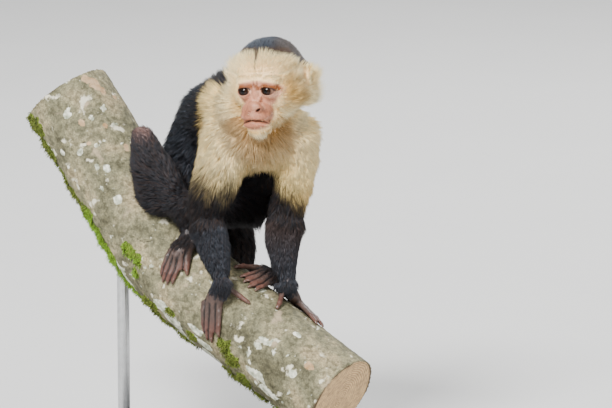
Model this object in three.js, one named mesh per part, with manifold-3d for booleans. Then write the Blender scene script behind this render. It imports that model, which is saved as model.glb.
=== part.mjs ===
// White-faced capuchin monkey, an adult male at life size, squatting on a short cut
// length of branch that two rods hold above a round base. Millimetres, +Z up.
// The origin is the middle of the base's underside. The animal looks towards -Y,
// its right side is towards -X, and every outline runs to the tips of the coat.

import * as THREE from 'three';
import { mergeVertices } from 'three/addons/utils/BufferGeometryUtils.js';
import Module from 'manifold-3d';

const wasm = await Module();
wasm.setup();

// ---------------------------------------------------------------- driving sizes

const GAP = 0.3;                        // left between two parts that touch

const BASE_RADIUS = 165;
const BASE_HEIGHT = 20;
const BASE_BEVEL = 4;
const ROD_RADIUS = 7;
const LOWER_ROD_AT = 425;               // along the branch, from its upper cut end
const UPPER_ROD_AT = 118;

const BRANCH_RADIUS = 47.5;
const BRANCH_LINE = [                   // its middle, from the upper cut end down
  [-166, 113, 383], [-139, 93, 344], [-84, 52, 257.5], [-55, 30, 218],
  [-5.5, -7, 182], [44, -44, 152], [88, -77, 125], [126, -105.5, 102],
];

const DIGIT = 3.7;                      // radius of a finger
const TOE = 3.9;
const PALM_WIDTH = 11.5;                // half-width of a palm or sole
const PALM_DEPTH = 7.5;
const STUB = 9;                         // radius at the wrist or ankle
const HEAD_CENTRE = [52, -50, 422];
const HEAD_YAW = 20;                    // degrees, turned to its own right
const HEAD_PITCH = 5;
const EYE_RADIUS = 8.4;
const EYE_SPACING = 24.6;
const TAIL_RADIUS = 13;
const SIDEWAYS = [0.97, 0.24, 0];       // towards the animal's left at the shoulders
const TRUNK_ACROSS = [0.9, 0.43, 0];    // and along its back

// ---------------------------------------------------------------- small helpers

const vec = (p) => new THREE.Vector3(...p);

function solidOf(geometry) {
  geometry.deleteAttribute('normal');
  geometry.deleteAttribute('uv');
  const merged = mergeVertices(geometry, 1e-4);
  return new wasm.Manifold(new wasm.Mesh({
    numProp: 3,
    vertProperties: new Float32Array(merged.attributes.position.array),
    triVerts: new Uint32Array(merged.index.array),
  }));
}

// The largest single body that a cut leaves.
function mainBody(solid) {
  const bodies = solid.decompose();
  bodies.sort((a, b) => b.volume() - a.volume());
  return bodies[0];
}

function joined(solids) {
  return solids.reduce((whole, piece) => whole.add(piece));
}

// A body through oval rings. Each station is [x, y, z, half-width, half-depth], across
// is the direction of the half-width, and turns is the number of rings that round
// off each end, with none for a flat end.
function loft(stations, across, { sides = 16, rings = 10, turns = 2, grow = 0 } = {}) {
  const places = stations.map((s) => vec(s.slice(0, 3)));
  const halves = stations.map((s) => vec([s[3], s[4], 0]));
  const line = new THREE.CatmullRomCurve3(places, false, 'centripetal');
  const sizes = new THREE.CatmullRomCurve3(halves, false, 'catmullrom', 0.5);
  const loops = [];
  const ringAt = (t, out, shrink) => {
    const along = line.getTangent(t).normalize();
    const wide = vec(across).addScaledVector(along, -vec(across).dot(along)).normalize();
    const deep = along.clone().cross(wide);
    const size = sizes.getPoint(t);
    const reach = Math.min(size.x, size.y) + grow;
    const centre = line.getPoint(t).addScaledVector(along, out * reach);
    const loop = [];
    for (let i = 0; i < sides; i += 1) {
      const angle = (i / sides) * 2 * Math.PI;
      loop.push(centre.clone()
        .addScaledVector(wide, Math.cos(angle) * (size.x + grow) * shrink)
        .addScaledVector(deep, Math.sin(angle) * (size.y + grow) * shrink));
    }
    return { centre, loop };
  };
  for (let i = turns; i > 0; i -= 1) {
    const bend = (i / (turns + 1)) * (Math.PI / 2);
    loops.push(ringAt(0, -Math.sin(bend), Math.cos(bend)));
  }
  for (let i = 0; i <= rings; i += 1) {
    loops.push(ringAt(i / rings, 0, 1));
  }
  for (let i = 1; i <= turns; i += 1) {
    const bend = (i / (turns + 1)) * (Math.PI / 2);
    loops.push(ringAt(1, Math.sin(bend), Math.cos(bend)));
  }
  const pole = turns ? 1 : grow / 10;
  const start = ringAt(0, -pole, 0).centre;
  const finish = ringAt(1, pole, 0).centre;
  const points = [start, ...loops.flatMap((entry) => entry.loop), finish];
  const faces = [];
  const last = points.length - 1;
  for (let i = 0; i < sides; i += 1) {
    const next = (i + 1) % sides;
    faces.push(0, 1 + next, 1 + i);
    for (let k = 0; k < loops.length - 1; k += 1) {
      const here = 1 + k * sides;
      const there = here + sides;
      faces.push(here + i, here + next, there + next, here + i, there + next, there + i);
    }
    const top = last - sides;
    faces.push(last, top + i, top + next);
  }
  const geometry = new THREE.BufferGeometry().setFromPoints(points);
  geometry.setIndex(faces);
  return solidOf(geometry);
}

// ---------------------------------------------------------------- places

// The head's own axes: s to the animal's left, f forward, u up.
const headTurn = new THREE.Matrix4()
  .makeRotationZ(THREE.MathUtils.degToRad(-HEAD_YAW))
  .multiply(new THREE.Matrix4().makeRotationX(THREE.MathUtils.degToRad(-HEAD_PITCH)));
const headPlace = new THREE.Matrix4().makeTranslation(...HEAD_CENTRE).multiply(headTurn);

// An oval ball in the head's axes, turned by a few degrees about its own upright.
function headBall([s, f, u], [across, forward, up], { around = 12, down = 8, turn = 0, grow = 0 } = {}) {
  const ball = new THREE.SphereGeometry(1, around, down);
  ball.rotateX(Math.PI / 2);
  ball.scale(across + grow, forward + grow, up + grow);
  ball.rotateZ(THREE.MathUtils.degToRad(turn));
  ball.translate(s, -f, u);
  ball.applyMatrix4(headPlace);
  return solidOf(ball);
}

// The branch at a distance along it, with a direction to the front and one to the
// edge that is lowest seen from the front.
const branchLine = new THREE.CatmullRomCurve3(BRANCH_LINE.map(vec), false, 'centripetal');
const branchLength = branchLine.getLength();

function branchAt(along) {
  const share = along / branchLength;
  const run = branchLine.getTangentAt(share).normalize();
  const front = vec([0, -0.978, 0.208]);
  front.addScaledVector(run, -front.dot(run)).normalize();
  const under = run.clone().cross(front).normalize();
  return { centre: branchLine.getPointAt(share), front, under };
}

// A point on the branch: along it, degrees round it and height above its bark.
// Zero degrees is the front, about -57 the crest and +90 the lower edge.
function onBranch([along, round, above]) {
  const { centre, front, under } = branchAt(along);
  const angle = THREE.MathUtils.degToRad(round);
  const out = BRANCH_RADIUS + above;
  centre.addScaledVector(front, Math.cos(angle) * out);
  centre.addScaledVector(under, Math.sin(angle) * out);
  return centre.toArray();
}

// ---------------------------------------------------------------- finishes

function finish(colour, roughness) {
  return new THREE.MeshStandardMaterial({ color: colour, roughness, metalness: 0 });
}

const creamCoat = () => finish(0xd9c8a0, 0.9);
const blackCoat = () => finish(0x25272b, 0.85);
const bareSkin = () => finish(0x6f5750, 0.6);
const faceSkin = () => finish(0xc89a86, 0.55);
const eyeGloss = () => finish(0x140d08, 0.1);
const bark = () => finish(0x8d8b77, 0.95);
const paintedWood = () => finish(0x2b2a29, 0.4);
const steel = () => new THREE.MeshStandardMaterial({ color: 0xb9bbbd, roughness: 0.3, metalness: 1 });

// ---------------------------------------------------------------- perch and stand

function branch(grow = 0) {
  const stations = BRANCH_LINE.map((place, i) => {
    const knot = 1.2 * Math.sin(2.3 * i);
    return [...place, BRANCH_RADIUS + knot, BRANCH_RADIUS - knot];
  });
  return loft(stations, [0, -0.978, 0.208], { sides: 16, rings: 10, turns: 0, grow });
}

function standBase() {
  const profile = [
    [0, 0],
    [BASE_RADIUS, 0],
    [BASE_RADIUS, BASE_HEIGHT - BASE_BEVEL],
    [BASE_RADIUS - BASE_BEVEL, BASE_HEIGHT],
    [0, BASE_HEIGHT],
  ];
  const disc = new THREE.LatheGeometry(profile.map(([r, z]) => new THREE.Vector2(r, z)), 30);
  disc.rotateX(Math.PI / 2);
  return solidOf(disc);
}

// An upright rod that stands on the base and ends in the underside of the branch.
function rod(along) {
  const foot = BASE_HEIGHT + GAP;
  const { centre } = branchAt(along);
  const height = centre.z - foot;
  const bar = new THREE.CylinderGeometry(ROD_RADIUS, ROD_RADIUS, height, 10);
  bar.rotateX(Math.PI / 2);
  bar.translate(centre.x, centre.y, foot + height / 2);
  return solidOf(bar).subtract(branch(GAP));
}

// ---------------------------------------------------------------- head and neck

const HEAD_PARTS = [
  { at: [-1, -6, 14], size: [37.5, 43, 38], around: 13, down: 7 },      // crown and nape
  { at: [-22, 3, 1], size: [29, 25, 34], around: 8, down: 6 },          // right cheek coat
  { at: [22, 3, 1], size: [29, 25, 34], around: 8, down: 6 },           // left cheek coat
  { at: [-22, -25, 2], size: [26.5, 21, 30], around: 8, down: 5 },      // right ruff
  { at: [22, -25, 2], size: [26.5, 21, 30], around: 8, down: 5 },       // left ruff
  { at: [0, 22, 0], size: [30, 21, 25], around: 10, down: 5 },          // flat of the face
  { at: [0, 28, 14], size: [25, 15, 9], around: 8, down: 4 },           // brow
  { at: [0.8, 37, -20], size: [17.5, 18.5, 16.5], around: 8, down: 6 }, // muzzle
  { at: [0, 43, -8], size: [6.5, 12, 12], around: 6, down: 4 },         // nose
  { at: [1, 28, -33], size: [17, 20, 14], around: 8, down: 5 },         // chin tuft
];

function head(grow = 0) {
  return joined(HEAD_PARTS.map(({ at, size, ...fine }) => headBall(at, size, { ...fine, grow })));
}

function eye(side, grow = 0) {
  return headBall([side * EYE_SPACING / 2 - 0.9, 36.2, -0.4], [EYE_RADIUS, EYE_RADIUS, EYE_RADIUS], {
    around: 10,
    down: 6,
    grow,
  });
}

function ear(side, grow = 0) {
  return headBall([side * 40, -13, 9], [3, 9.5, 14], { around: 8, down: 4, turn: side * 38, grow });
}

function neck(grow = 0) {
  return loft([
    [28, 0, 386, 42, 36],
    [36, -16, 396, 42, 38],
    [44, -32, 404, 40, 36],
  ], SIDEWAYS, { sides: 12, rings: 2, turns: 1, grow });
}

// ---------------------------------------------------------------- trunk and tail

// The belly rises from the haunches, and the chest runs forward from the back.
function trunk(grow = 0) {
  const belly = loft([
    [-42, 60, 280, 37, 33],
    [-37, 60, 298, 40, 40],
    [-23, 57, 328, 40, 43],
    [-8, 48, 350, 42, 43],
    [5, 31, 366, 42, 42],
  ], TRUNK_ACROSS, { sides: 14, rings: 4, grow });
  const chest = loft([
    [-3, 44, 362, 42, 45],
    [13, 20, 375, 48, 48.5],
    [28, -4, 375, 51, 50],
    [38, -24, 370, 49, 45],
  ], TRUNK_ACROSS, { sides: 14, rings: 3, grow });
  return belly.add(chest);
}

const TAIL_ROUTE = [
  [-44, 78, 268], [-34, 100, 262], [-8, 112, 256], [14, 108, 246], [23, 97, 226], [23, 90, 204],
  [24, 84, 182], [28, 78, 160],
];

// The last third curls in a loose spiral that hangs behind the branch.
const CURL_TURNS = 1.25;
const CURL_RADIUS = 27;

function tailLine() {
  const points = TAIL_ROUTE.map(vec);
  const entry = points[points.length - 1];
  const hub = entry.clone().add(vec([-CURL_RADIUS, -2, -14]));
  const steps = 9;
  for (let i = 1; i <= steps; i += 1) {
    const turn = (i / steps) * CURL_TURNS * 2 * Math.PI;
    const radius = CURL_RADIUS * (1 - 0.2 * (i / steps));
    points.push(hub.clone().add(vec([
      Math.cos(turn) * radius,
      -2 + 4.2 * i,
      -Math.sin(turn) * radius,
    ])));
  }
  return new THREE.CatmullRomCurve3(points, false, 'centripetal');
}

function tailPiece(index, count, grow = 0) {
  const line = tailLine();
  const length = line.getLength();
  const steps = 6;
  const stations = [];
  for (let i = 0; i <= steps; i += 1) {
    const from = (index / count) * length + (index > 0 ? GAP / 2 : 0);
    const to = ((index + 1) / count) * length - (index < count - 1 ? GAP / 2 : 0);
    const share = THREE.MathUtils.lerp(from, to, i / steps) / length;
    const point = line.getPointAt(share);
    const radius = TAIL_RADIUS * (1.18 - 0.42 * share ** 1.5);
    stations.push([point.x, point.y, point.z, radius, radius]);
  }
  const piece = loft(stations, [0.1, 1, 0.2], { sides: 8, rings: steps, turns: 0, grow });
  if (index < count - 1) {
    return piece;
  }
  const tip = new THREE.SphereGeometry(stations[steps][3] + grow, 8, 5);
  tip.translate(...stations[steps].slice(0, 3));
  return piece.add(solidOf(tip));
}

// ---------------------------------------------------------------- arms and legs

// Each stretch of limb: [x, y, z, half-width, half-depth] from the trunk outwards.
const ARMS = {
  right: {
    upper: [[10, -32, 366, 32, 30], [2, -36, 338, 30, 29], [-8, -36, 308, 27, 26], [-14, -33, 289, 22, 22]],
    fore: [[-13, -36, 271, 20, 20.5], [-6, -49, 250, 19, 19.5], [-1, -61, 233, 14.5, 15],
      [1, -68, 224, 11.5, 12]],
  },
  left: {
    upper: [[78, -20, 366, 28, 30], [80, -20, 342, 26, 28], [76, -19, 312, 24, 25], [72, -19, 290, 21, 22]],
    fore: [[70, -24, 271, 20, 20.5], [66, -34, 252, 19.5, 19], [67, -44, 234, 16, 15.5],
      [70, -51, 221, 12.5, 12]],
  },
};

const LEGS = {
  right: {
    thigh: [[-48, 38, 280, 31, 32], [-62, 8, 300, 30, 31], [-74, -8, 334, 23, 27], [-80, -20, 360, 15.5, 17]],
    shin: [[-73, -20, 346, 15, 17], [-62, -14, 326, 17, 22], [-47, -8, 296, 19, 23], [-35, -7, 271, 14, 16]],
  },
  left: {
    thigh: [[-14, 72, 280, 31, 33], [12, 64, 280, 30, 34], [44, 54, 288, 24, 30], [66, 46, 300, 19, 21]],
    shin: [[66, 40, 288, 18, 19], [65, 30, 274, 18.5, 20], [66, 14, 256, 15, 17], [68, 0, 240, 11.5, 13]],
  },
};

// Hands and feet, as places on the branch: [along, round, above]. The wrist or
// ankle is a point in space. Digits run thumb or big toe first.
const HANDS = {
  right: {
    joint: [2, -71, 219],
    palm: [[311, -14, 14], [311, -7, 10], [311, 0, 7.5]],
    digits: [
      [[312, -23, 11], [323, -25, 6], [339, -27, 3.6]],
      [[319, -4, 6.5], [328, 11, 6.5], [334, 27, 3.6]],
      [[314, 1, 6.5], [322, 20, 6.5], [328, 40, 3.6]],
      [[308, 4, 6.5], [316, 23, 6.5], [322, 41, 3.6]],
      [[301, 7, 6], [309, 22, 6], [316, 36, 3.6]],
    ],
  },
  left: {
    joint: [71, -54, 214],
    palm: [[352, -72, 14], [356, -81, 11], [358, -89, 8]],
    digits: [
      [[353, -66, 10], [360, -58, 6], [364, -48, 3.6]],
      [[363, -86, 6.5], [382, -80, 6.5], [400, -75, 3.6]],
      [[364, -94, 6.5], [385, -89, 6.5], [404, -84, 3.6]],
      [[361, -103, 6.5], [381, -100, 6.5], [399, -96, 3.6]],
      [[356, -111, 6], [372, -110, 6], [386, -107, 3.6]],
    ],
  },
};

const FEET = {
  right: {
    joint: [-31, -6, 264],
    palm: [[231, -60, 13], [235, -42, 13], [239, -26, 11.5], [240, -16, 9]],
    digits: [
      [[242, -34, 12], [254, -20, 6.5], [263, -8, 3.8]],
      [[246, -18, 7], [253, -4, 6.5], [256, 11, 3.8]],
      [[241, -14, 7], [248, 1, 6.5], [251, 16, 3.8]],
      [[235, -11, 7], [241, 4, 6.5], [245, 18, 3.8]],
      [[229, -11, 7], [234, 2, 6], [239, 14, 3.8]],
    ],
  },
  left: {
    joint: [68, -9, 230],
    palm: [[328, -106, 21], [325, -98, 16], [321, -89, 12], [318, -84, 11]],
    digits: [
      [[307, -88, 13], [297, -76, 7], [292, -61, 3.8]],
      [[311, -81, 10], [312, -67, 7], [308, -54, 3.8]],
      [[317, -80, 10], [318, -65, 7], [316, -51, 3.8]],
      [[323, -80, 10], [327, -63, 7], [325, -48, 3.8]],
      [[330, -83, 9], [334, -65, 6.5], [333, -51, 3.8]],
    ],
  },
};

function limb(stations, grow = 0) {
  return loft(stations, SIDEWAYS, { sides: 11, rings: 3, grow });
}

// A palm or sole with its joint stub and five digits, each drawn from inside the palm.
function paw({ joint, palm, digits }, radius, grow = 0) {
  const plate = palm.map((place) => [...onBranch(place), PALM_WIDTH, PALM_DEPTH]);
  const knuckles = digits.slice(1).map((digit) => vec(onBranch(digit[0])));
  const across = knuckles[3].clone().sub(knuckles[0]).normalize().toArray();
  const stub = [[...joint, STUB, STUB], [...plate[0].slice(0, 3), STUB, STUB]];
  const pieces = [
    loft(plate, across, { sides: 8, rings: 2, turns: 1, grow }),
    loft(stub, across, { sides: 7, rings: 1, turns: 1, grow }),
  ];
  digits.forEach((digit, index) => {
    const thick = index === 0 ? radius * 1.12 : radius;
    const root = index === 0 ? palm[1] : palm[palm.length - 1];
    const middle = vec(onBranch(root)).lerp(vec(onBranch(digit[0])), 0.5).toArray();
    const taper = (k) => thick * (1.1 - 0.1 * k);
    const places = digit.map((place, k) => [...onBranch(place), taper(k), taper(k)]);
    pieces.push(loft([[...middle, thick, thick], ...places], across, { sides: 5, rings: 2, turns: 1, grow }));
  });
  return joined(pieces);
}

// ---------------------------------------------------------------- the whole animal

// Earlier parts keep their full shape, and each later part is cut back from them.
const PLAN = [
  ['perch_branch', branch, bark],
  ['eye_right', (g) => eye(-1, g), eyeGloss],
  ['eye_left', (g) => eye(1, g), eyeGloss],
  ['ear_right', (g) => ear(-1, g), faceSkin],
  ['ear_left', (g) => ear(1, g), faceSkin],
  ['head', head, creamCoat],
  ['hand_right', (g) => paw(HANDS.right, DIGIT, g), bareSkin],
  ['hand_left', (g) => paw(HANDS.left, DIGIT, g), bareSkin],
  ['foot_right', (g) => paw(FEET.right, TOE, g), bareSkin],
  ['foot_left', (g) => paw(FEET.left, TOE, g), bareSkin],
  ['upper_arm_right', (g) => limb(ARMS.right.upper, g), creamCoat],
  ['upper_arm_left', (g) => limb(ARMS.left.upper, g), creamCoat],
  ['forearm_right', (g) => limb(ARMS.right.fore, g), blackCoat],
  ['forearm_left', (g) => limb(ARMS.left.fore, g), blackCoat],
  ['thigh_right', (g) => limb(LEGS.right.thigh, g), blackCoat],
  ['thigh_left', (g) => limb(LEGS.left.thigh, g), blackCoat],
  ['shin_right', (g) => limb(LEGS.right.shin, g), blackCoat],
  ['shin_left', (g) => limb(LEGS.left.shin, g), blackCoat],
  ['neck', neck, creamCoat],
  ['tail_1', (g) => tailPiece(0, 4, g), blackCoat],
  ['tail_2', (g) => tailPiece(1, 4, g), blackCoat],
  ['tail_3', (g) => tailPiece(2, 4, g), blackCoat],
  ['tail_4', (g) => tailPiece(3, 4, g), blackCoat],
  ['trunk', trunk, blackCoat],
];

const capuchin = new THREE.Group();

function addPart(name, solid, material) {
  const { vertProperties, triVerts } = solid.getMesh();
  const geometry = new THREE.BufferGeometry();
  geometry.setAttribute('position', new THREE.BufferAttribute(vertProperties, 3));
  geometry.setIndex(new THREE.BufferAttribute(triVerts, 1));
  geometry.computeVertexNormals();
  const mesh = new THREE.Mesh(geometry, material);
  mesh.name = name;
  capuchin.add(mesh);
}

const cutters = [];
for (const [name, shape, material] of PLAN) {
  let solid = shape(0);
  for (const cutter of cutters) {
    solid = solid.subtract(cutter);
  }
  addPart(name, mainBody(solid), material());
  cutters.push(shape(GAP));
}

addPart('stand_base', standBase(), paintedWood());
addPart('stand_rod_lower', rod(LOWER_ROD_AT), steel());
addPart('stand_rod_upper', rod(UPPER_ROD_AT), steel());

export default capuchin;
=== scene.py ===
"""A white-faced capuchin monkey squatting on a cut length of branch, as a life-size display
model on a stand. Metres, +Z up; the animal looks towards -Y and its right side is towards -X."""

import heapq
import math

import bmesh
import bpy
import numpy as np
from mathutils import Matrix, Vector, noise
from mathutils.bvhtree import BVHTree
from mathutils.kdtree import KDTree


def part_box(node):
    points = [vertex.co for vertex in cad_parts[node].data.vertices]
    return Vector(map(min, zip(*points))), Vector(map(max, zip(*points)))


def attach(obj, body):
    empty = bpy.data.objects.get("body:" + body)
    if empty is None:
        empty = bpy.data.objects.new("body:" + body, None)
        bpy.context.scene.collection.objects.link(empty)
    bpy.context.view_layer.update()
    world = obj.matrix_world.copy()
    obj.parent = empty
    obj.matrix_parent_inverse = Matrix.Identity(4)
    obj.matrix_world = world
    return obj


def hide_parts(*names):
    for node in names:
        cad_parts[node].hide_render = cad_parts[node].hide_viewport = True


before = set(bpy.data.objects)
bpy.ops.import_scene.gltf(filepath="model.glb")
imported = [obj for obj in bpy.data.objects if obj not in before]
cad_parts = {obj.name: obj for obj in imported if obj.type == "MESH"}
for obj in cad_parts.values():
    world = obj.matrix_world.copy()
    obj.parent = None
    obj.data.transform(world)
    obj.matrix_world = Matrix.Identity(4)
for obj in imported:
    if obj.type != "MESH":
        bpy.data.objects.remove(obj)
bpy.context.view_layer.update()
MM = 0.001


# ---------------------------------------------------------------------------- camera
# A long lens from the front, a little above the animal, with the feet of the stand
# below the edge of the view. It stands 5 m off and looks straight along +Y.

CAMERA_TARGET = Vector((0.090, -0.015, 0.290))
CAMERA_DISTANCE = 5.0
CAMERA_TILT = math.radians(12)
LENS = 280.1                         # mm, on a sensor 36 mm wide

camera_data = bpy.data.cameras.new("camera")
camera_data.lens = LENS
camera_data.sensor_width = 36
camera_data.clip_end = 60
camera = bpy.data.objects.new("camera", camera_data)
look = Vector((0, math.cos(CAMERA_TILT), -math.sin(CAMERA_TILT)))
camera.location = CAMERA_TARGET - look * CAMERA_DISTANCE
camera.rotation_euler = (math.pi / 2 - CAMERA_TILT, 0, 0)
bpy.context.collection.objects.link(camera)
bpy.context.scene.camera = camera


# ---------------------------------------------------------------------------- hide
# One closed skin for the whole animal: bare on face, hands and feet, hidden by coat
# elsewhere. It is the outline of the coat drawn in by the coat's depth, joined to a
# skull, face, hands and feet that are modelled at the skin, and fused into one.

COAT_DEPTH = {                       # mm from the outline down to the skin
    "trunk": 7.5, "neck": 17, "upper_arm_right": 8, "upper_arm_left": 8,
    "forearm_right": 4.5, "forearm_left": 4.5, "thigh_right": 7, "thigh_left": 7,
    "shin_right": 5, "shin_left": 4.5, "tail_1": 4, "tail_2": 5, "tail_3": 5.5,
    "tail_4": 5, "head": 14, "hand_right": 1.5, "hand_left": 1.5, "foot_right": 1.5,
    "foot_left": 1.5,
}
SHORT_PLACES = [                     # back, right knee and groin: place, size, share of the depth lost
    ((-30, 58, 390), 42, 0.75), ((-80, -20, 360), 26, 0.6), ((46, -22, 270), 24, 0.7),
]
EARS = ["ear_right", "ear_left"]
HEAD_NODES = ["head", *EARS]
HIDE_NODES = [*COAT_DEPTH, *EARS]
part_names = np.array(HIDE_NODES)
FLESH_SWELL = 0.6 * MM               # so that neighbouring nodes meet and fuse
FLESH_VOXEL = 2.2 * MM
HIDE_VOXEL = 1.15 * MM
THINNED_TO = 0.38                    # share of the faces kept where coat covers the skin


def merged_node(name, swell=0.0):
    """A bmesh of a CAD node with its loose triangles joined, swollen by a little."""
    form = bmesh.new()
    form.from_mesh(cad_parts[name].data)
    bmesh.ops.remove_doubles(form, verts=form.verts, dist=0.01 * MM)
    bmesh.ops.recalc_face_normals(form, faces=form.faces)
    form.normal_update()
    for vert in form.verts:
        vert.co += vert.normal * swell
    return form


def as_object(form, name):
    """The bmesh as a linked object; the bmesh is freed."""
    mesh = bpy.data.meshes.new(name)
    form.to_mesh(mesh)
    form.free()
    made = bpy.data.objects.new(name, mesh)
    bpy.context.collection.objects.link(made)
    return made


def add_form(whole, form):
    """Joins a bmesh into another; the first is freed."""
    spare = bpy.data.meshes.new("spare")
    form.to_mesh(spare)
    form.free()
    whole.from_mesh(spare)
    bpy.data.meshes.remove(spare)


def applied(made):
    """Replaces an object's mesh by what its modifiers make of it."""
    bpy.context.view_layer.update()
    depsgraph = bpy.context.evaluated_depsgraph_get()
    mesh = bpy.data.meshes.new_from_object(made.evaluated_get(depsgraph), depsgraph=depsgraph)
    old = made.data
    made.modifiers.clear()
    made.data = mesh
    bpy.data.meshes.remove(old)
    mesh.name = made.name
    return made


def fused(made, voxel, smoothing=0):
    """Voxel-remeshes an object into one closed surface and smooths it."""
    remesh = made.modifiers.new("fuse", "REMESH")
    remesh.mode = "VOXEL"
    remesh.voxel_size = voxel
    if smoothing:
        relax = made.modifiers.new("relax", "SMOOTH")
        relax.factor = 0.5
        relax.iterations = smoothing
    return applied(made)


def arrays(mesh):
    """Vertex places, vertex normals and edges of a mesh as numpy arrays."""
    count = len(mesh.vertices)
    places = np.empty(count * 3)
    mesh.vertices.foreach_get("co", places)
    normals = np.empty(count * 3, np.float32)
    mesh.vertex_normals.foreach_get("vector", normals)
    edges = np.empty(len(mesh.edges) * 2, int)
    mesh.edges.foreach_get("vertices", edges)
    return places.reshape(-1, 3), normals.reshape(-1, 3).astype(float), edges.reshape(-1, 2)


def carry(mesh, layer, colours):
    """Lays a colour per vertex on a mesh, in a layer of its own."""
    shade = mesh.color_attributes.new(layer, "FLOAT_COLOR", "POINT")
    values = np.c_[colours, np.ones(len(colours))]
    shade.data.foreach_set("color", values.astype(np.float32).ravel())


def spread(values, edges, rounds):
    """Averages a value per vertex with its neighbours, a number of rounds."""
    flat = values.reshape(len(values), -1)
    links = np.bincount(edges.ravel(), minlength=len(flat))[:, None] + 1.0
    for _ in range(rounds):
        total = flat.copy()
        for k in range(flat.shape[1]):
            total[:, k] += np.bincount(edges[:, 0], flat[edges[:, 1], k], len(flat))
            total[:, k] += np.bincount(edges[:, 1], flat[edges[:, 0], k], len(flat))
        flat = total / links
    return flat.reshape(values.shape)


def ease(low, high, value):
    """A smooth step from 0 below low to 1 above high."""
    t = np.clip((value - low) / (high - low), 0, 1)
    return t * t * (3 - 2 * t)


def hump(value, middle, width):
    """1 where a value is at the middle, falling away to 0 over a width on either side."""
    return np.exp(-((value - middle) / width) ** 2)


def near(spots, at, size, power=4):
    """1 at a place, falling away to 0 over a size around it, all in mm."""
    return np.exp(-(np.linalg.norm(spots - np.array(at), axis=1) / size) ** power)


def unit(ways):
    """Ways, one per row, drawn to a length of 1."""
    return ways / np.maximum(np.linalg.norm(ways, axis=1), 1e-12)[:, None]


# The nearest CAD node tells which part of the body a place belongs to.
part_faces = []
part_points = []
part_of_face = []
for index, name in enumerate(HIDE_NODES):
    form = merged_node(name)
    bmesh.ops.triangulate(form, faces=form.faces)
    start = len(part_points)
    part_points += [v.co.copy() for v in form.verts]
    part_faces += [[start + v.index for v in face.verts] for face in form.faces]
    part_of_face += [index] * len(form.faces)
    form.free()
parts_tree = BVHTree.FromPolygons(part_points, part_faces)


def nearest_parts(places):
    """For each place, the index in HIDE_NODES of the node it lies in or nearest to."""
    return np.array([part_of_face[parts_tree.find_nearest(p)[2]] for p in places])


# The flesh under the coat: fused outlines, drawn in.
flesh_form = bmesh.new()
for name in COAT_DEPTH:
    add_form(flesh_form, merged_node(name, FLESH_SWELL))
hide = fused(as_object(flesh_form, "hide"), FLESH_VOXEL, 5)
places, normals, edges = arrays(hide.data)
depths = np.array([COAT_DEPTH.get(HIDE_NODES[i], 12) for i in nearest_parts(places)], float)
for spot, size, share in SHORT_PLACES:
    depths *= 1 - share * near(places / MM, spot, size)
depths = spread(depths, edges, 6)
normals = spread(normals, edges, 3)
normals = unit(normals)
places = places - normals * depths[:, None] * MM
places = spread(places, edges, 8)
hide.data.vertices.foreach_set("co", places.ravel())

# The head sits on its own axes: side to the animal's left, front ahead, up, all in mm from
# the middle of the skull.
HEAD_PLACE = (
    Matrix.Translation(Vector((52, -50, 422)) * MM)
    @ Matrix.Rotation(math.radians(-23), 4, "Z")
    @ Matrix.Rotation(math.radians(-5), 4, "X")
    @ Matrix.Rotation(math.radians(-5), 4, "Y")
)


def at_head(side, front, up):
    """The head's axes moved to a point given on them, in mm."""
    return HEAD_PLACE @ Matrix.Translation(Vector((side, -front, up)) * MM)


# Skull and face, as balls on the head's axes: place, half sizes, nod in degrees.
FACE_FORMS = [
    ((0, -7, 15.5), (37, 39, 38.3), 0),               # brain case
    ((-17, 12, -4), (14, 17, 18), 0),                 # cheeks
    ((17, 12, -4), (14, 17, 18), 0),
    ((0, 18.5, -1), (25, 18, 24), 0),                 # plate of the face
    ((-11.5, 28.8, 7.6), (12.5, 7.4, 5.4), 8),        # ridges of the brows, and between them
    ((11.5, 28.8, 7.6), (12.5, 7.4, 5.4), 8),
    ((0, 28.6, 9), (9, 7.6, 7), 0),
    ((-2.2, 28.5, -23.5), (16.4, 18.5, 13.6), -4),    # muzzle
    ((0.4, 36.5, -5), (4.6, 5.5, 10.5), 24),          # bridge of the nose
    ((1, 43.6, -16.8), (6.6, 5.2, 4.8), 20),          # tip of the nose
    ((-4, 42.2, -20), (4.2, 4.6, 4.2), 0),            # wings of the nose
    ((6, 42.2, -20), (4.2, 4.6, 4.2), 0),
    ((-1.6, 35.6, -27.5), (16.6, 11.2, 6.8), -6),     # upper lip
    ((-1.4, 34.4, -35.8), (15.2, 9.8, 4.8), 6),       # lower lip
    ((-1.2, 28.4, -39.4), (13, 12.5, 7), 0),          # chin
    ((0, 8, -26), (17, 23, 15), 0),                   # jaw
]
EYE_SIDE = 12.8                      # of each eye from the middle, mm
EYE_FRONT = 30.4
EYE_UP = -2.0
EYE_BALL = 8.0
EYE_OPENING = (5.8, 3.9)             # half width and half height between the lids


def add_ball(form, matrix, size, fine=3):
    """An oval ball of half sizes in mm, placed by a matrix."""
    scale = Matrix.Diagonal((size[0] * MM, size[1] * MM, size[2] * MM, 1))
    bmesh.ops.create_icosphere(form, subdivisions=fine, radius=1, matrix=matrix @ scale)


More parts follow.
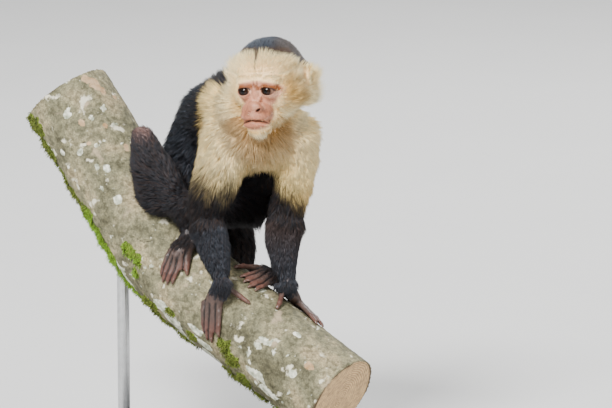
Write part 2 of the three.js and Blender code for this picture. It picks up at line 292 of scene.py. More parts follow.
def add_bar(form, start, end, thick_start, thick_end, flat=1.0, flat_way=None):
    """A tapered bar with ball ends between two places, thickness as radius in mm."""
    run = end - start
    turn = run.to_track_quat("Z", "Y").to_matrix().to_4x4()
    if flat_way is not None:
        side = flat_way - run.normalized() * flat_way.dot(run.normalized())
        side.normalize()
        across = side.cross(run.normalized())
        turn = Matrix((across, side, run.normalized())).transposed().to_4x4()
    squeeze = Matrix.Diagonal((1, flat, 1, 1))
    middle = Matrix.Translation((start + end) / 2) @ turn @ squeeze
    bmesh.ops.create_cone(form, cap_ends=True, segments=14, radius1=thick_start * MM,
                          radius2=thick_end * MM, depth=run.length, matrix=middle)
    for place, thick in ((start, thick_start), (end, thick_end)):
        size = Matrix.Diagonal((thick * MM, thick * MM, thick * MM, 1))
        bmesh.ops.create_icosphere(form, subdivisions=2, radius=1,
                                   matrix=Matrix.Translation(place) @ turn @ squeeze @ size)


skin_form = bmesh.new()
skin_form.from_mesh(hide.data)
for place, size, nod in FACE_FORMS:
    add_ball(skin_form, at_head(*place) @ Matrix.Rotation(math.radians(nod), 4, "X"), size)
for side in (-1, 1):
    lids = (EYE_BALL + 1.4, EYE_BALL + 1.2, EYE_BALL + 0.2)
    add_ball(skin_form, at_head(side * EYE_SIDE, EYE_FRONT, EYE_UP), lids)

# Ears: a thin upright shell with a rolled rim, close to the head.
EAR_SHELL = (1.6, 8.5, 12)           # half sizes
EAR_RIM = (2.0, 2.2, 2.2)
RIM_STEPS = 14
for side in (-1, 1):
    spot = (at_head(side * 35.5, -12.5, 7)
            @ Matrix.Rotation(side * math.radians(34), 4, "Z")
            @ Matrix.Rotation(side * math.radians(9), 4, "Y"))
    add_ball(skin_form, spot, EAR_SHELL)
    for step in range(RIM_STEPS):
        turn = math.radians(-100 + 300 * step / (RIM_STEPS - 1))
        rim = Vector((side * 1.2, math.cos(turn) * 8.2, math.sin(turn) * 11.6)) * MM
        add_ball(skin_form, spot @ Matrix.Translation(rim), EAR_RIM, 2)
    add_ball(skin_form, at_head(side * 29, -6, 4), (6, 5, 8), 2)

# The middle of the branch, in mm from its sawn upper end, is what hands and feet hold.
BRANCH_RADIUS = 47.5
BRANCH_FRONT = (0, -0.978, 0.208)    # the way that counts as 0 degrees round the branch
ROUND_MM = 0.83                      # mm round the bark to a degree
BRANCH_LINE = [
    (-166, 113, 383), (-139, 93, 344), (-84, 52, 257.5), (-55, 30, 218),
    (-5.5, -7, 182), (44, -44, 152), (88, -77, 125), (126, -105.5, 102),
]


def smooth_line(points, steps=60):
    """A centripetal Catmull-Rom line through the points: places and lengths along it."""
    knots = [np.array(p, float) for p in points]
    knots = [2 * knots[0] - knots[1], *knots, 2 * knots[-1] - knots[-2]]
    places = []
    for a, b, c, d in zip(knots, knots[1:], knots[2:], knots[3:]):
        t1 = np.linalg.norm(b - a) ** 0.5
        t2 = t1 + np.linalg.norm(c - b) ** 0.5
        t3 = t2 + np.linalg.norm(d - c) ** 0.5
        for t in np.linspace(t1, t2, steps, endpoint=False):
            ab = a + (b - a) * t / t1
            bc = b + (c - b) * (t - t1) / (t2 - t1)
            cd = c + (d - c) * (t - t2) / (t3 - t2)
            abc = ab + (bc - ab) * t / t2
            bcd = bc + (cd - bc) * (t - t1) / (t3 - t1)
            places.append(abc + (bcd - abc) * (t - t1) / (t2 - t1))
    places.append(knots[-2])
    places = np.array(places)
    lengths = np.concatenate([[0], np.cumsum(np.linalg.norm(np.diff(places, axis=0), axis=1))])
    return places, lengths


branch_places, branch_lengths = smooth_line(BRANCH_LINE)


def on_branch(along, degrees, above=0.0):
    """A place on the branch: mm along it, degrees round it from the front, mm off the bark."""
    centre = np.array([np.interp(along, branch_lengths, branch_places[:, k]) for k in range(3)])
    ahead = np.array([np.interp(along + 4, branch_lengths, branch_places[:, k]) for k in range(3)])
    back = np.array([np.interp(along - 4, branch_lengths, branch_places[:, k]) for k in range(3)])
    run = Vector(ahead - back).normalized()
    front = Vector(BRANCH_FRONT)
    front = (front - run * front.dot(run)).normalized()
    under = run.cross(front).normalized()
    angle = math.radians(degrees)
    out = front * math.cos(angle) + under * math.sin(angle)
    return (Vector(centre) + out * (BRANCH_RADIUS + above)) * MM, out


# Hands and feet as places on the branch: mm along, degrees round, mm off the bark. The
# wrist or ankle is a point in mm. Digits run thumb or big toe first.
PAWS = {
    "hand_right": {
        "joint": (2, -71, 219),
        "palm": [(311, -14, 13), (311, -7, 9.5), (311, 0, 7)],
        "digits": [
            [(312, -23, 10), (323, -25, 6), (339, -27, 3.4)],
            [(319, -4, 6.5), (328, 11, 6.2), (334, 27, 3.4)],
            [(314, 1, 6.5), (322, 20, 6.2), (328, 40, 3.4)],
            [(308, 4, 6.5), (316, 23, 6.2), (322, 41, 3.4)],
            [(301, 7, 6), (309, 22, 5.8), (316, 36, 3.4)],
        ],
    },
    "hand_left": {
        "joint": (71, -54, 214),
        "palm": [(352, -72, 13), (356, -81, 10.5), (358, -89, 7.5)],
        "digits": [
            [(353, -66, 10), (360, -58, 6), (364, -48, 3.4)],
            [(363, -86, 6.5), (382, -80, 6.2), (400, -75, 3.4)],
            [(364, -94, 6.5), (385, -89, 6.2), (404, -84, 3.4)],
            [(361, -103, 6.5), (381, -100, 6.2), (399, -96, 3.4)],
            [(356, -111, 6), (372, -110, 5.8), (386, -107, 3.4)],
        ],
    },
    "foot_right": {
        "joint": (-31, -6, 264),
        "palm": [(231, -60, 12), (235, -42, 12), (239, -26, 10.5), (240, -16, 8.5)],
        "digits": [
            [(242, -34, 11), (254, -20, 6.2), (263, -8, 3.6)],
            [(246, -18, 7), (253, -4, 6.2), (256, 11, 3.6)],
            [(241, -14, 7), (248, 1, 6.2), (251, 16, 3.6)],
            [(235, -11, 7), (241, 4, 6.2), (245, 18, 3.6)],
            [(229, -11, 7), (234, 2, 6), (239, 14, 3.6)],
        ],
    },
    "foot_left": {
        "joint": (68, -9, 230),
        "palm": [(328, -106, 20), (325, -98, 15), (321, -89, 11), (318, -84, 10)],
        "digits": [
            [(307, -88, 12), (297, -76, 6.8), (292, -61, 3.6)],
            [(311, -81, 9.5), (312, -67, 6.6), (308, -54, 3.6)],
            [(317, -80, 9.5), (318, -65, 6.6), (316, -51, 3.6)],
            [(323, -80, 9.5), (327, -63, 6.6), (325, -48, 3.6)],
            [(330, -83, 8.5), (334, -65, 6.3), (333, -51, 3.6)],
        ],
    },
}
PALM_LOW = 0.82                      # share of its height that a palm keeps, below 13.5 mm
DIGIT_LOW = 0.74                     # share of its height that a digit keeps
DIGIT_LEAST = 2.5                    # mm off the bark, at least
DIGIT_RADIUS = 2.7
THUMB, SMALLEST = 1.16, 0.9          # of that radius
WRIST_RADII = (8.2, 8.4)
PALM_RADIUS, PALM_FLAT = 10.6, 0.62
KNUCKLE_SWELL = 1.15
nail_places = []                     # digit, its tip, way to the tip, way off the bark, radius

for name, paw in PAWS.items():
    joint = Vector(paw["joint"]) * MM
    paw["palm"] = [(a, t, h * (PALM_LOW if h < 13.5 else 1)) for a, t, h in paw["palm"]]
    paw["digits"] = [[(a, t, max(DIGIT_LEAST, h * DIGIT_LOW)) for a, t, h in digit]
                     for digit in paw["digits"]]
    palm = [on_branch(*place)[0] for place in paw["palm"]]
    out = on_branch(*paw["palm"][-1])[1]
    knuckles = [on_branch(*digit[0])[0] for digit in paw["digits"][1:]]
    across = (knuckles[0] - knuckles[-1]).normalized()
    add_bar(skin_form, joint, palm[0], *WRIST_RADII)
    for start, end in zip(palm, palm[1:]):
        add_bar(skin_form, start, end, PALM_RADIUS, PALM_RADIUS, PALM_FLAT, out)
    for index, digit in enumerate(paw["digits"]):
        thick = DIGIT_RADIUS * (THUMB if index == 0 else SMALLEST if index == 4 else 1.0)
        root = palm[1] if index == 0 else palm[-1]
        spots = [on_branch(*place)[0] for place in digit]
        ways = [on_branch(*place)[1] for place in digit]
        base = root.lerp(spots[0], 0.35)
        heel = palm[0] if index else palm[1]
        add_bar(skin_form, heel.lerp(base, 0.5) + out * 2.2 * MM, spots[0] + out * 0.8 * MM, 2.4,
                thick * 0.9)
        middle = spots[0].lerp(spots[1], 0.52) + ways[0] * 0.9 * MM
        last = spots[1].lerp(spots[2], 0.42) + ways[1] * 0.5 * MM
        chain = [spots[0], middle, last, spots[2]]
        widths = [thick * 1.04, thick * 1.0, thick * 0.94, thick * 0.8]
        for k in range(3):
            add_bar(skin_form, chain[k], chain[k + 1], widths[k] * 0.93, widths[k + 1] * 0.93)
        for k in (0, 1, 2):
            add_ball(skin_form, Matrix.Translation(chain[k] + ways[min(k, 2)] * 0.35 * MM),
                     (widths[k] * KNUCKLE_SWELL * 0.93,) * 3, 2)
        tip_way = (chain[3] - chain[2]).normalized()
        nail_places.append((index, chain[3].copy(), tip_way, ways[2].copy(), thick * 0.8))

old_hide = hide.data
hide.data = bpy.data.meshes.new("hide")
skin_form.to_mesh(hide.data)
skin_form.free()
bpy.data.meshes.remove(old_hide)
hide = fused(hide, HIDE_VOXEL, 3)

to_head = np.array(HEAD_PLACE.inverted())


def head_axes(places):
    """Side, front and up of each place on the head's own axes, in mm."""
    turned = (np.c_[places, np.ones(len(places))] @ to_head.T)[:, :3] / MM
    turned[:, 1] *= -1
    return turned


# The skin that the coat hides is thinned out; bare skin keeps its fine mesh.
places, normals, edges = arrays(hide.data)
parts = nearest_parts(places)
covered = 1.0 - np.isin(part_names[parts], [*HEAD_NODES, *PAWS]).astype(float)
covered = spread(covered, edges, 6)
covered[(part_names[parts] == "head") & (head_axes(places)[:, 1] < 8)] = 1.0
group = hide.vertex_groups.new(name="covered")
for level in range(1, 11):
    chosen = np.nonzero(np.round(covered * 10) == level)[0]
    group.add(chosen.tolist(), level / 10, "REPLACE")
thin = hide.modifiers.new("thin", "DECIMATE")
thin.ratio = THINNED_TO
thin.vertex_group = "covered"
thin.vertex_group_factor = 1.0
applied(hide)
hide.vertex_groups.clear()


# Where skull, cheeks and throat meet, the fused forms are drawn into one another.
places, normals, edges = arrays(hide.data)
local = head_axes(places)
side, front, up = local.T
at_skull = 1 - ease(58, 70, np.linalg.norm(local - np.array((0, -5, 5)), axis=1))
off_face = np.maximum(ease(12.5, 17, up), ease(19, 25, np.abs(side)))
off_face = np.maximum(off_face, 1 - ease(8, 16, front)) * at_skull
off_ear = ease(9, 14, np.hypot(np.hypot(np.abs(side) - 35, front + 13), (up - 8) * 0.8))
blended = spread(places, edges, 42)
places += (blended - places) * (off_face * off_ear)[:, None]
hide.data.vertices.foreach_set("co", places.ravel())

# The front of the face gets a mesh twice as fine, and then its small forms: the
# openings and folds of the lids, nostrils, the line of the mouth and the lips.
face_form = bmesh.new()
face_form.from_mesh(hide.data)
fine_edges = []
for edge in face_form.edges:
    local = [HEAD_PLACE.inverted() @ v.co / MM for v in edge.verts]
    if all(p.y < -20 and abs(p.x) < 27 and -46 < p.z < 18 for p in local):
        fine_edges.append(edge)
bmesh.ops.subdivide_edges(face_form, edges=fine_edges, cuts=1, use_grid_fill=True)
bmesh.ops.triangulate(face_form, faces=face_form.faces)
face_form.to_mesh(hide.data)
face_form.free()

EYE_DEPTH = 5.5                      # of the openings between the lids
LID_BULGE = 0.8
NOSTRILS = [                         # side and up, slant in degrees, half sizes, depth
    ((-3.4, -22.2), -20, 1.7, 0.9, 1.3), ((5.9, -20.8), 34, 2.6, 1.15, 3.8),
]
MOUTH_MIDDLE = -31.6                 # height of the line of the mouth
MOUTH_DEPTH = 2.4
FOLD_DEPTH = 0.55                    # from nose to mouth
LIP_GROOVE = 0.7
BROW_LINES = ((14.5, 0.25), (18.0, 0.2))     # height and depth
FROWN_LINES = ((-2.6, 0.75), (1.7, 0.6))     # side and strength of their painted shade
FROWN_DEPTH = 0.6
DIGIT_GROOVE = 1.7                   # between two digits
places, normals, edges = arrays(hide.data)
local = head_axes(places)
side, front, up = local.T
in_front = front > 20
push = np.zeros(len(local))


def eye_reach(side, up, eye_side):
    """Distance from the middle of an eye, 1 on the rim of its lids."""
    out = (side - eye_side) * np.sign(eye_side)
    wide = np.where(out > 0, EYE_OPENING[0] + (1.1 if eye_side > 0 else 0.2), EYE_OPENING[0])
    x = out / wide
    z = (up - EYE_UP + 0.5 * out / EYE_OPENING[0]) / EYE_OPENING[1]
    return np.sqrt(np.abs(x) ** 2.2 + np.where(z > 0, np.abs(z) ** 2.6, np.abs(z) ** 2))


def mouth_line_at(side):
    """Height of the line of the mouth: a small dip in the middle, corners turned down."""
    return MOUTH_MIDDLE - 0.020 * (side + 0.9) ** 2 - 0.5 * hump(side, 1, 2.5)


for eye_side in (-EYE_SIDE, EYE_SIDE):
    r = eye_reach(side, up, eye_side)
    z = up - EYE_UP
    push -= in_front * EYE_DEPTH * (1 - ease(0.86, 1.05, r))
    push += in_front * LID_BULGE * hump(r, 1.2, 0.13)
    fold = np.where(z > 0, 0.9, 0.6)
    push -= in_front * fold * hump(r, 1.62, 0.14)


def nostril_reach(side, up, nostril):
    """Distance from the middle of a nostril, 1 on its rim."""
    (x, z), slant, wide, high, _ = nostril
    turn = math.radians(slant)
    across = (side - x) * math.cos(turn) + (up - z) * math.sin(turn)
    along = -(side - x) * math.sin(turn) + (up - z) * math.cos(turn)
    return np.hypot(across / wide, along / high)


for nostril in NOSTRILS:
    push -= in_front * nostril[-1] * (1 - ease(0.5, 1.2, nostril_reach(side, up, nostril)))
for turn in (-1, 1):                                       # folds from the nose to the mouth
    fold_line = 1 + turn * (8.2 + 0.42 * (-19 - up))
    fold = hump(side, fold_line, 1.0) * ease(-30, -27, up) * (1 - ease(-19, -15, up))
    push -= in_front * FOLD_DEPTH * fold
mouth_line = mouth_line_at(side)
near_mouth = in_front * (1 - ease(18, 22, np.abs(side + 0.9)))
push -= near_mouth * MOUTH_DEPTH * hump(up, mouth_line, 0.85)
push += near_mouth * 0.7 * hump(up, mouth_line - 2.6, 1.5)
push += near_mouth * 0.5 * hump(up, mouth_line + 2.4, 1.4)
groove = in_front * hump(side, 1, 1.1) * ease(-29.5, -28, up) * (1 - ease(-23.5, -22, up))
push -= groove * LIP_GROOVE
for line, depth in BROW_LINES:
    push -= in_front * depth * hump(up, line + 0.01 * side ** 2, 0.8)
for line, _ in FROWN_LINES:
    frown = hump(side, line, 0.7) * ease(0.5, 3, up) * (1 - ease(10, 13, up))
    push -= in_front * FROWN_DEPTH * frown
local[:, 1] += push
local[:, 1] *= -1
places = (np.c_[local * MM, np.ones(len(local))] @ np.array(HEAD_PLACE).T)[:, :3]


def off_line(places, points):
    """Distance in mm of each place from a line of straight stretches."""
    apart = np.full(len(places), 90.0)
    for first, last in zip(points, points[1:]):
        share = np.clip((places - first) @ (last - first) / ((last - first) @ (last - first)), 0, 1)
        spot = first + share[:, None] * (last - first)
        apart = np.minimum(apart, np.linalg.norm(places - spot, axis=1) / MM)
    return apart


# Fingers and toes are parted by a groove between each two.
parting = np.zeros(len(places))
for paw in PAWS.values():
    lines = [[np.array(on_branch(*place)[0]) for place in digit] for digit in paw["digits"]]
    first, second = np.sort([off_line(places, line) for line in lines], axis=0)[:2]
    parting = np.maximum(parting, hump(second, first, 1.3) * (1 - ease(5.5, 9, first)))
places -= normals * (DIGIT_GROOVE * parting)[:, None] * MM
hide.data.vertices.foreach_set("co", places.ravel())
hide.data.update()
hide.data.shade_smooth()

# The pattern of the coat, which skin and hair share: a black cap, a cream face, ruff,
# throat, shoulders and upper arms, and black for the rest of the animal.


def wave(places, size, seed=0.0):
    """A smooth wandering value from -1 to 1, with lumps about that many mm across."""
    p = places / MM / size
    total = np.zeros(len(p))
    for k, (a, b, c) in enumerate(((1.0, 0.7, 0.3), (-0.6, 1.1, 0.5), (0.4, -0.5, 1.2), (1.3, 0.9, -0.8))):
        total += np.sin(2.1 * (a * p[:, 0] + b * p[:, 1] + c * p[:, 2]) + 1.7 * k + seed)
    return total / 4 * 1.4


def cap_mask(local, places):
    """1 inside the black cap of the crown and nape, 0 outside."""
    side, front, up = local.T
    edge = 35 - 0.42 * np.maximum(0, 12 - front)
    edge -= (0.004 + 0.0055 * (side > 0) * ease(-6, 6, front)) * side ** 2
    edge -= 0.03 * np.maximum(0, -20 - front) ** 2
    edge += 0.06 * np.maximum(0, np.abs(side) - 24) ** 2 * (front < -18) + 1.0 * wave(places, 6)
    cap = ease(-1.3, 1.3, up - edge)
    half = 0.4 + 1.7 * ease(23, 35, up)
    peak = (1 - ease(0.8, 1.2, np.abs(side + 1.4) / half)) * ease(13, 20, up) * (front > 0)
    return np.maximum(cap, peak * 0.9)


def cream_mask(places, parts):
    """1 where the coat is cream, 0 where it is black."""
    x, y, z = (places / MM).T
    local = head_axes(places)
    names = part_names[parts]
    along = 0.69 * x - 0.72 * y
    beside = np.abs(0.72 * (x - 28) + 0.69 * (y + 4))
    ragged = 3.5 * wave(places, 9) + 2 * wave(places, 4, 2.0)
    rear = 30 - 26 * ease(6, 34, beside)
    low = 329 + 6 * hump(x, 40, 22)
    body = ease(-6, 6, along - rear + ragged) * ease(-9, 9, z - low + 1.5 * ragged)
    right = ease(-25, 25, z - 332 + 0.2 * (x + 8) + 1.6 * ragged)
    left = ease(-18, 18, z - 313 + 1.35 * (x - 76) + 1.6 * ragged)
    mask = body
    mask = np.where(names == "upper_arm_right", right * ease(-8, 4, along + 2 + ragged), mask)
    mask = np.where(names == "upper_arm_left", left * ease(-8, 4, along - 22 + ragged), mask)
    behind = ease(-5, 5, 0.73 * (z - 403) - x - 16 + ragged) * ease(397, 407, z)
    mask = mask * (1 - behind * (x < 20))
    head = 1 - cap_mask(local, places)
    mask = np.where(np.isin(names, HEAD_NODES), head, mask)
    pale_nodes = ["trunk", "neck", "upper_arm_right", "upper_arm_left", *HEAD_NODES]
    return np.where(np.isin(names, pale_nodes), mask, 0.0)


def mix(first, second, share):
    """Blends two colours, or arrays of them, by a share per row."""
    return first + (second - first) * np.asarray(share)[..., None]


# Where the skin is bare: 1 at the hair's edge round eyes, muzzle and cheeks, less inside.
places, normals, edges = arrays(hide.data)
parts = nearest_parts(places)
names = part_names[parts]
local = head_axes(places)
side, front, up = local.T
on_head = np.isin(names, HEAD_NODES)
eye_band = np.hypot(side / 25, (up + 2.5) / 10.2)
muzzle_skin = np.hypot(np.hypot((side + 1) / 17.5, (up + 25) / np.where(up < -25, 15.5, 17)),
                       np.maximum(0, 36 - front) / 18)
cheek_skin = np.hypot(side / 18, (up + 10) / 9)
bare = np.minimum(np.minimum(eye_band, muzzle_skin), cheek_skin)
bare = np.where(on_head & (front > 6), bare, 3.0)

# hair ends on the back of each hand and foot, mm from the heel of the palm or sole
HAIR_ENDS = {"hand_right": -3, "hand_left": -3, "foot_right": 30, "foot_left": 14}
paws = np.isin(names, [*PAWS])
wrist_far = np.full(len(places), 90.0)                # mm beyond the wrist, towards the tips
for name, paw in PAWS.items():
    start = np.array(on_branch(*paw["palm"][0])[0])
    heading = np.array(on_branch(*paw["palm"][-1])[0]) - np.array(paw["joint"]) * MM
    heading /= np.linalg.norm(heading)
    beyond = (places - start) @ heading / MM - HAIR_ENDS[name]
    apart = off_line(places, [np.array(on_branch(*place)[0]) for place in paw["digits"][0]])
    beyond = np.maximum(beyond, 26 * (1 - ease(4, 9, apart)) - 6)
    wrist_far = np.where(names == name, beyond, wrist_far)
cream = cream_mask(places, parts)

# The hide carries the coat's pattern between the hairs. Face, hands, feet, ears and the
# top of the knee are bare: pink to brown skin, painted point by point.
SKIN = {
    "pink": (0.50, 0.215, 0.125), "muzzle": (0.345, 0.125, 0.064), "orange": (0.19, 0.050, 0.007),
    "pale": (0.66, 0.36, 0.24), "brow": (0.68, 0.40, 0.23), "lid": (0.022, 0.010, 0.008),
    "dark": (0.07, 0.022, 0.014), "lip": (0.36, 0.122, 0.064), "under_cream": (0.86, 0.58, 0.28),
    "under_black": (0.034, 0.030, 0.031), "paw": (0.052, 0.030, 0.023),
    "paw_dark": (0.040, 0.028, 0.026), "ear": (0.66, 0.33, 0.19), "knee": (0.36, 0.21, 0.18),
}
SKIN = {name: np.array(value) for name, value in SKIN.items()}
tone = mix(SKIN["under_black"], SKIN["under_cream"], cream)
face_skin = (1 - ease(0.95, 1.25, bare)) * (names == "head")
tone = mix(tone, SKIN["pink"] * (1 + 0.15 * wave(places, 6))[:, None], face_skin)


def paint(colour, share):
    """Lays a skin colour over the face by a share per point."""
    global tone
    tone = mix(tone, SKIN[colour], np.clip(share, 0, 1) * (front > 14) * face_skin)


paint("muzzle", 0.85 * (1 - ease(0.75, 1.15, np.hypot((side + 1) / 18, (up + 26) / 14))))
paint("pale", 0.35 * ease(0.1, 0.8, wave(places, 4.5, 3.0)) * (up < -14))
# orange-brown painted shade on the sides of the muzzle
for spot in (-7, 9):
    paint("orange", 0.3 * hump(side, spot, 4) * hump(up, -23, 4))
paint("dark", 0.30 * ease(36, 41, -up))
paint("dark", 0.22 * ease(0.2, 0.9, wave(places, 3.5, 1.0)) * (up < -10))
# painted shade along the folds from the nose to the mouth
for turn in (-1, 1):
    fold_line = 1 + turn * (8.2 + 0.42 * (-19 - up))
    paint("dark", 0.35 * hump(side, fold_line, 1.2) * ease(-30, -27, up) * (1 - ease(-19, -15, up)))
paint("pink", 0.7 * hump(side, 1, 4.5) * hump(up, -8, 8))
paint("lip", 0.75 * hump(up, mouth_line_at(side) - 4.2, 2.6) * (np.abs(side) < 15))
paint("brow", 0.8 * hump(up, 9.4, 2.4) * (1 - ease(20, 26, np.abs(side))))
for eye_side in (-EYE_SIDE, EYE_SIDE):
    outer = (side - eye_side) * np.sign(eye_side)
    r = eye_reach(side, up, eye_side)
    above = ease(-0.6, 1.4, up - EYE_UP + 0.08 * outer)
    # orange skin above the upper lid, kept dark as painted shade under the brow
    paint("orange", (0.7 + 0.25 * ease(0, 5, outer)) * above * ease(1.05, 1.25, r) * (1 - ease(1.6, 2.3, r)))
    paint("orange", 0.9 * hump(outer, 9.4, 2.2) * hump(up, 0.8, 3.2))
    paint("orange", 0.45 * (1 - above) * hump(r, 2.35, 0.3) * ease(-4, 4, outer))
    paint("pale", 0.75 * (1 - above) * hump(r, 1.5, 0.3))
    paint("lid", 0.97 * above * (1 - ease(1.2, 1.42, r)))
    paint("lid", 0.9 * (1 - above) * (1 - ease(1.02, 1.16, r)))
# an orange band under the brows: orange skin, kept dark as painted shade under the brow ridge
band = ease(1.2, 2.4, up) * (1 - ease(5.0, 7.2, up)) * (1 - ease(21, 25, np.abs(side)))
paint("orange", (0.62 + 0.25 * wave(places, 4, 2.0)) * band)
# painted shade in the frown creases
for line, strong in FROWN_LINES:
    paint("dark", strong * hump(side, line, 0.75) * ease(-1, 3, up) * (1 - ease(10, 15, up)))
paint("orange", 0.4 * hump(side, -0.6, 2.2) * hump(up, 1, 5))
# painted shade inside the nostrils
for nostril in NOSTRILS:
    paint("dark", nostril[-1] / 4.2 * (1 - ease(0.9, 1.7, nostril_reach(side, up, nostril))))
# painted shade in the line of the mouth
paint("dark", 0.95 * hump(up, mouth_line_at(side), 1.0) * (1 - ease(18, 22, np.abs(side + 0.9))))

tone = np.where(np.isin(names, EARS)[:, None], SKIN["ear"], tone)
bent = spread(places, edges, 5) - places                      # hollows on hands and feet get painted shade, ridges a painted highlight
hollow = np.clip((bent * normals).sum(1) / MM * 4.2, -1, 1)
paw_tone = mix(SKIN["paw_dark"], SKIN["paw"], ease(-6, 14, wrist_far))
tips = [np.array(spot[1]) for spot in nail_places]
tip_far = np.min([np.linalg.norm(places - tip, axis=1) for tip in tips], axis=0) / MM
paw_tone = mix(paw_tone, SKIN["dark"] * 1.6, 0.5 * (1 - ease(4, 20, tip_far)))
# painted shade in the hollows and painted highlight on the ridges of hands and feet
paw_tone = paw_tone * (1 - 0.78 * np.clip(hollow, 0, 1) + 0.25 * np.clip(-hollow, 0, 1))[:, None]
# painted shade in the grooves between fingers and toes
paw_tone *= ((1 + 0.12 * wave(places, 3)) * (1 - 0.6 * parting))[:, None]
tone = np.where(np.isin(names, [*PAWS])[:, None],
                paw_tone, tone)
tone = mix(tone, SKIN["knee"], 0.8 * near(places / MM, (-80, -26, 372), 12, 2))
carry(hide.data, "tone", tone)

def node_group(name, inputs, outputs):
    """An empty shader node group with named sockets, its input and output nodes."""
    group = bpy.data.node_groups.new(name, "ShaderNodeTree")
    for title, kind, value in inputs:
        group.interface.new_socket(title, in_out="INPUT", socket_type=kind).default_value = value
    for title, kind in outputs:
        group.interface.new_socket(title, in_out="OUTPUT", socket_type=kind)
    return group, group.nodes.new("NodeGroupInput"), group.nodes.new("NodeGroupOutput")


# mottling: breaks a colour up into lighter and darker specks of a size, and gives their height
mottling, group_in, group_out = node_group(
    "mottling",
    (("Color", "NodeSocketColor", (0.5, 0.5, 0.5, 1)), ("Scale", "NodeSocketFloat", 500.0),
     ("Low", "NodeSocketFloat", 0.8), ("High", "NodeSocketFloat", 1.15)),
    (("Color", "NodeSocketColor"), ("Height", "NodeSocketFloat")),
)
spot_in = mottling.nodes.new("ShaderNodeTexCoord")
specks = mottling.nodes.new("ShaderNodeTexNoise")
specks.inputs["Detail"].default_value = 4.0
specks.inputs["Roughness"].default_value = 0.6
levels = mottling.nodes.new("ShaderNodeMapRange")
levels.inputs["From Min"].default_value = 0.3
levels.inputs["From Max"].default_value = 0.7
tint = mottling.nodes.new("ShaderNodeVectorMath")
tint.operation = "SCALE"
for out, into in (
    (spot_in.outputs["Object"], specks.inputs["Vector"]),
    (group_in.outputs["Scale"], specks.inputs["Scale"]),
    (specks.outputs["Fac"], levels.inputs["Value"]),
    (group_in.outputs["Low"], levels.inputs["To Min"]),
    (group_in.outputs["High"], levels.inputs["To Max"]),
    (group_in.outputs["Color"], tint.inputs[0]),
    (levels.outputs["Result"], tint.inputs["Scale"]),
    (tint.outputs["Vector"], group_out.inputs["Color"]),
    (specks.outputs["Fac"], group_out.inputs["Height"]),
):
    mottling.links.new(out, into)


def place_group(material, group, **values):
    """A node group placed in a material, with its own values."""
    node = material.node_tree.nodes.new("ShaderNodeGroup")
    node.node_tree = group
    for title, value in values.items():
        node.inputs[title].default_value = value
    return node


def new_material(name, **values):
    """A material with values on its shader, and its shader node."""
    made = bpy.data.materials.new(name)
    made.use_nodes = True
    shader = made.node_tree.nodes["Principled BSDF"]
    for title, value in values.items():
        shader.inputs[title.replace("_", " ")].default_value = value
    return made, shader


def add_node(material, kind, **settings):
    """A node in a material, with its settings."""
    node = material.node_tree.nodes.new(kind)
    for title, value in settings.items():
        setattr(node, title, value)
    return node


def painted_tone(material, layer="tone"):
    """The colour that a piece carries on its points."""
    return add_node(material, "ShaderNodeAttribute", attribute_name=layer).outputs["Color"]


def add_bump(material, shader, height, strength, distance):
    """Small relief in the shading."""
    bump = add_node(material, "ShaderNodeBump")
    bump.inputs["Strength"].default_value = strength
    bump.inputs["Distance"].default_value = distance
    material.node_tree.links.new(height, bump.inputs["Height"])
    material.node_tree.links.new(bump.outputs["Normal"], shader.inputs["Normal"])


def mottled(material, shader, colour, scale, low, high):
    """Lays a mottled colour on a material; gives the height of the mottling."""
    specks = place_group(material, mottling, Scale=scale, Low=low, High=high)
    if isinstance(colour, bpy.types.NodeSocket):
        material.node_tree.links.new(colour, specks.inputs["Color"])
    else:
        specks.inputs["Color"].default_value = colour
    material.node_tree.links.new(specks.outputs["Color"], shader.inputs["Base Color"])
    return specks.outputs["Height"]


def rough_by(material, shader, value, low, high):
    """Roughness that follows a value between two ends."""
    ends = add_node(material, "ShaderNodeMapRange")
    ends.inputs["From Min"].default_value = 0.3
    ends.inputs["From Max"].default_value = 0.7
    ends.inputs["To Min"].default_value = low
    ends.inputs["To Max"].default_value = high
    material.node_tree.links.new(value, ends.inputs["Value"])
    material.node_tree.links.new(ends.outputs["Result"], shader.inputs["Roughness"])


skin, shader = new_material("skin", Specular_IOR_Level=0.45)
height = mottled(skin, shader, painted_tone(skin), 650.0, 0.76, 1.20)
rough_by(skin, shader, height, 0.42, 0.62)
pores = add_node(skin, "ShaderNodeTexVoronoi", feature="DISTANCE_TO_EDGE")
pores.inputs["Scale"].default_value = 620.0
spot_in = add_node(skin, "ShaderNodeTexCoord")
skin.node_tree.links.new(spot_in.outputs["Object"], pores.inputs["Vector"])
add_bump(skin, shader, pores.outputs["Distance"], 0.22, 0.0006)
hide.data.materials.append(skin)
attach(hide, "root")
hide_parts(*HIDE_NODES)


# ---------------------------------------------------------------------------- coat
# Thousands of tapered hair tufts in overlapping layers, each a thin closed spike bent
# along the lie of the coat and glued at its root. One piece for each part of the body.

# Hair lies away from the nose over the whole animal: back over the head, down the neck
# and arms, along the back and down the legs and tail.
NOSE_TIP = (1, 47, -14)              # on the head's axes, mm
spans = np.linalg.norm(places[edges[:, 0]] - places[edges[:, 1]], axis=1)
neighbours = [[] for _ in places]
for (a, b), span in zip(edges.tolist(), spans.tolist()):
    neighbours[a].append((b, span))
    neighbours[b].append((a, span))
nose = int(np.argmin(np.linalg.norm(places - np.array(at_head(*NOSE_TIP).translation), axis=1)))
reach = np.full(len(places), np.inf)
reach[nose] = 0.0
queue = [(0.0, nose)]
while queue:
    gone, here = heapq.heappop(queue)
    if gone > reach[here]:
        continue
    for there, span in neighbours[here]:
        if gone + span < reach[there]:
            reach[there] = gone + span
            heapq.heappush(queue, (gone + span, there))
reach[np.isinf(reach)] = 0.0
reach = spread(reach, edges, 25)
ends = edges.T
step = places[ends[1]] - places[ends[0]]
rise = (reach[ends[1]] - reach[ends[0]])[:, None] * step / (spans[:, None] ** 2 + 1e-12)
lie = np.zeros_like(places)
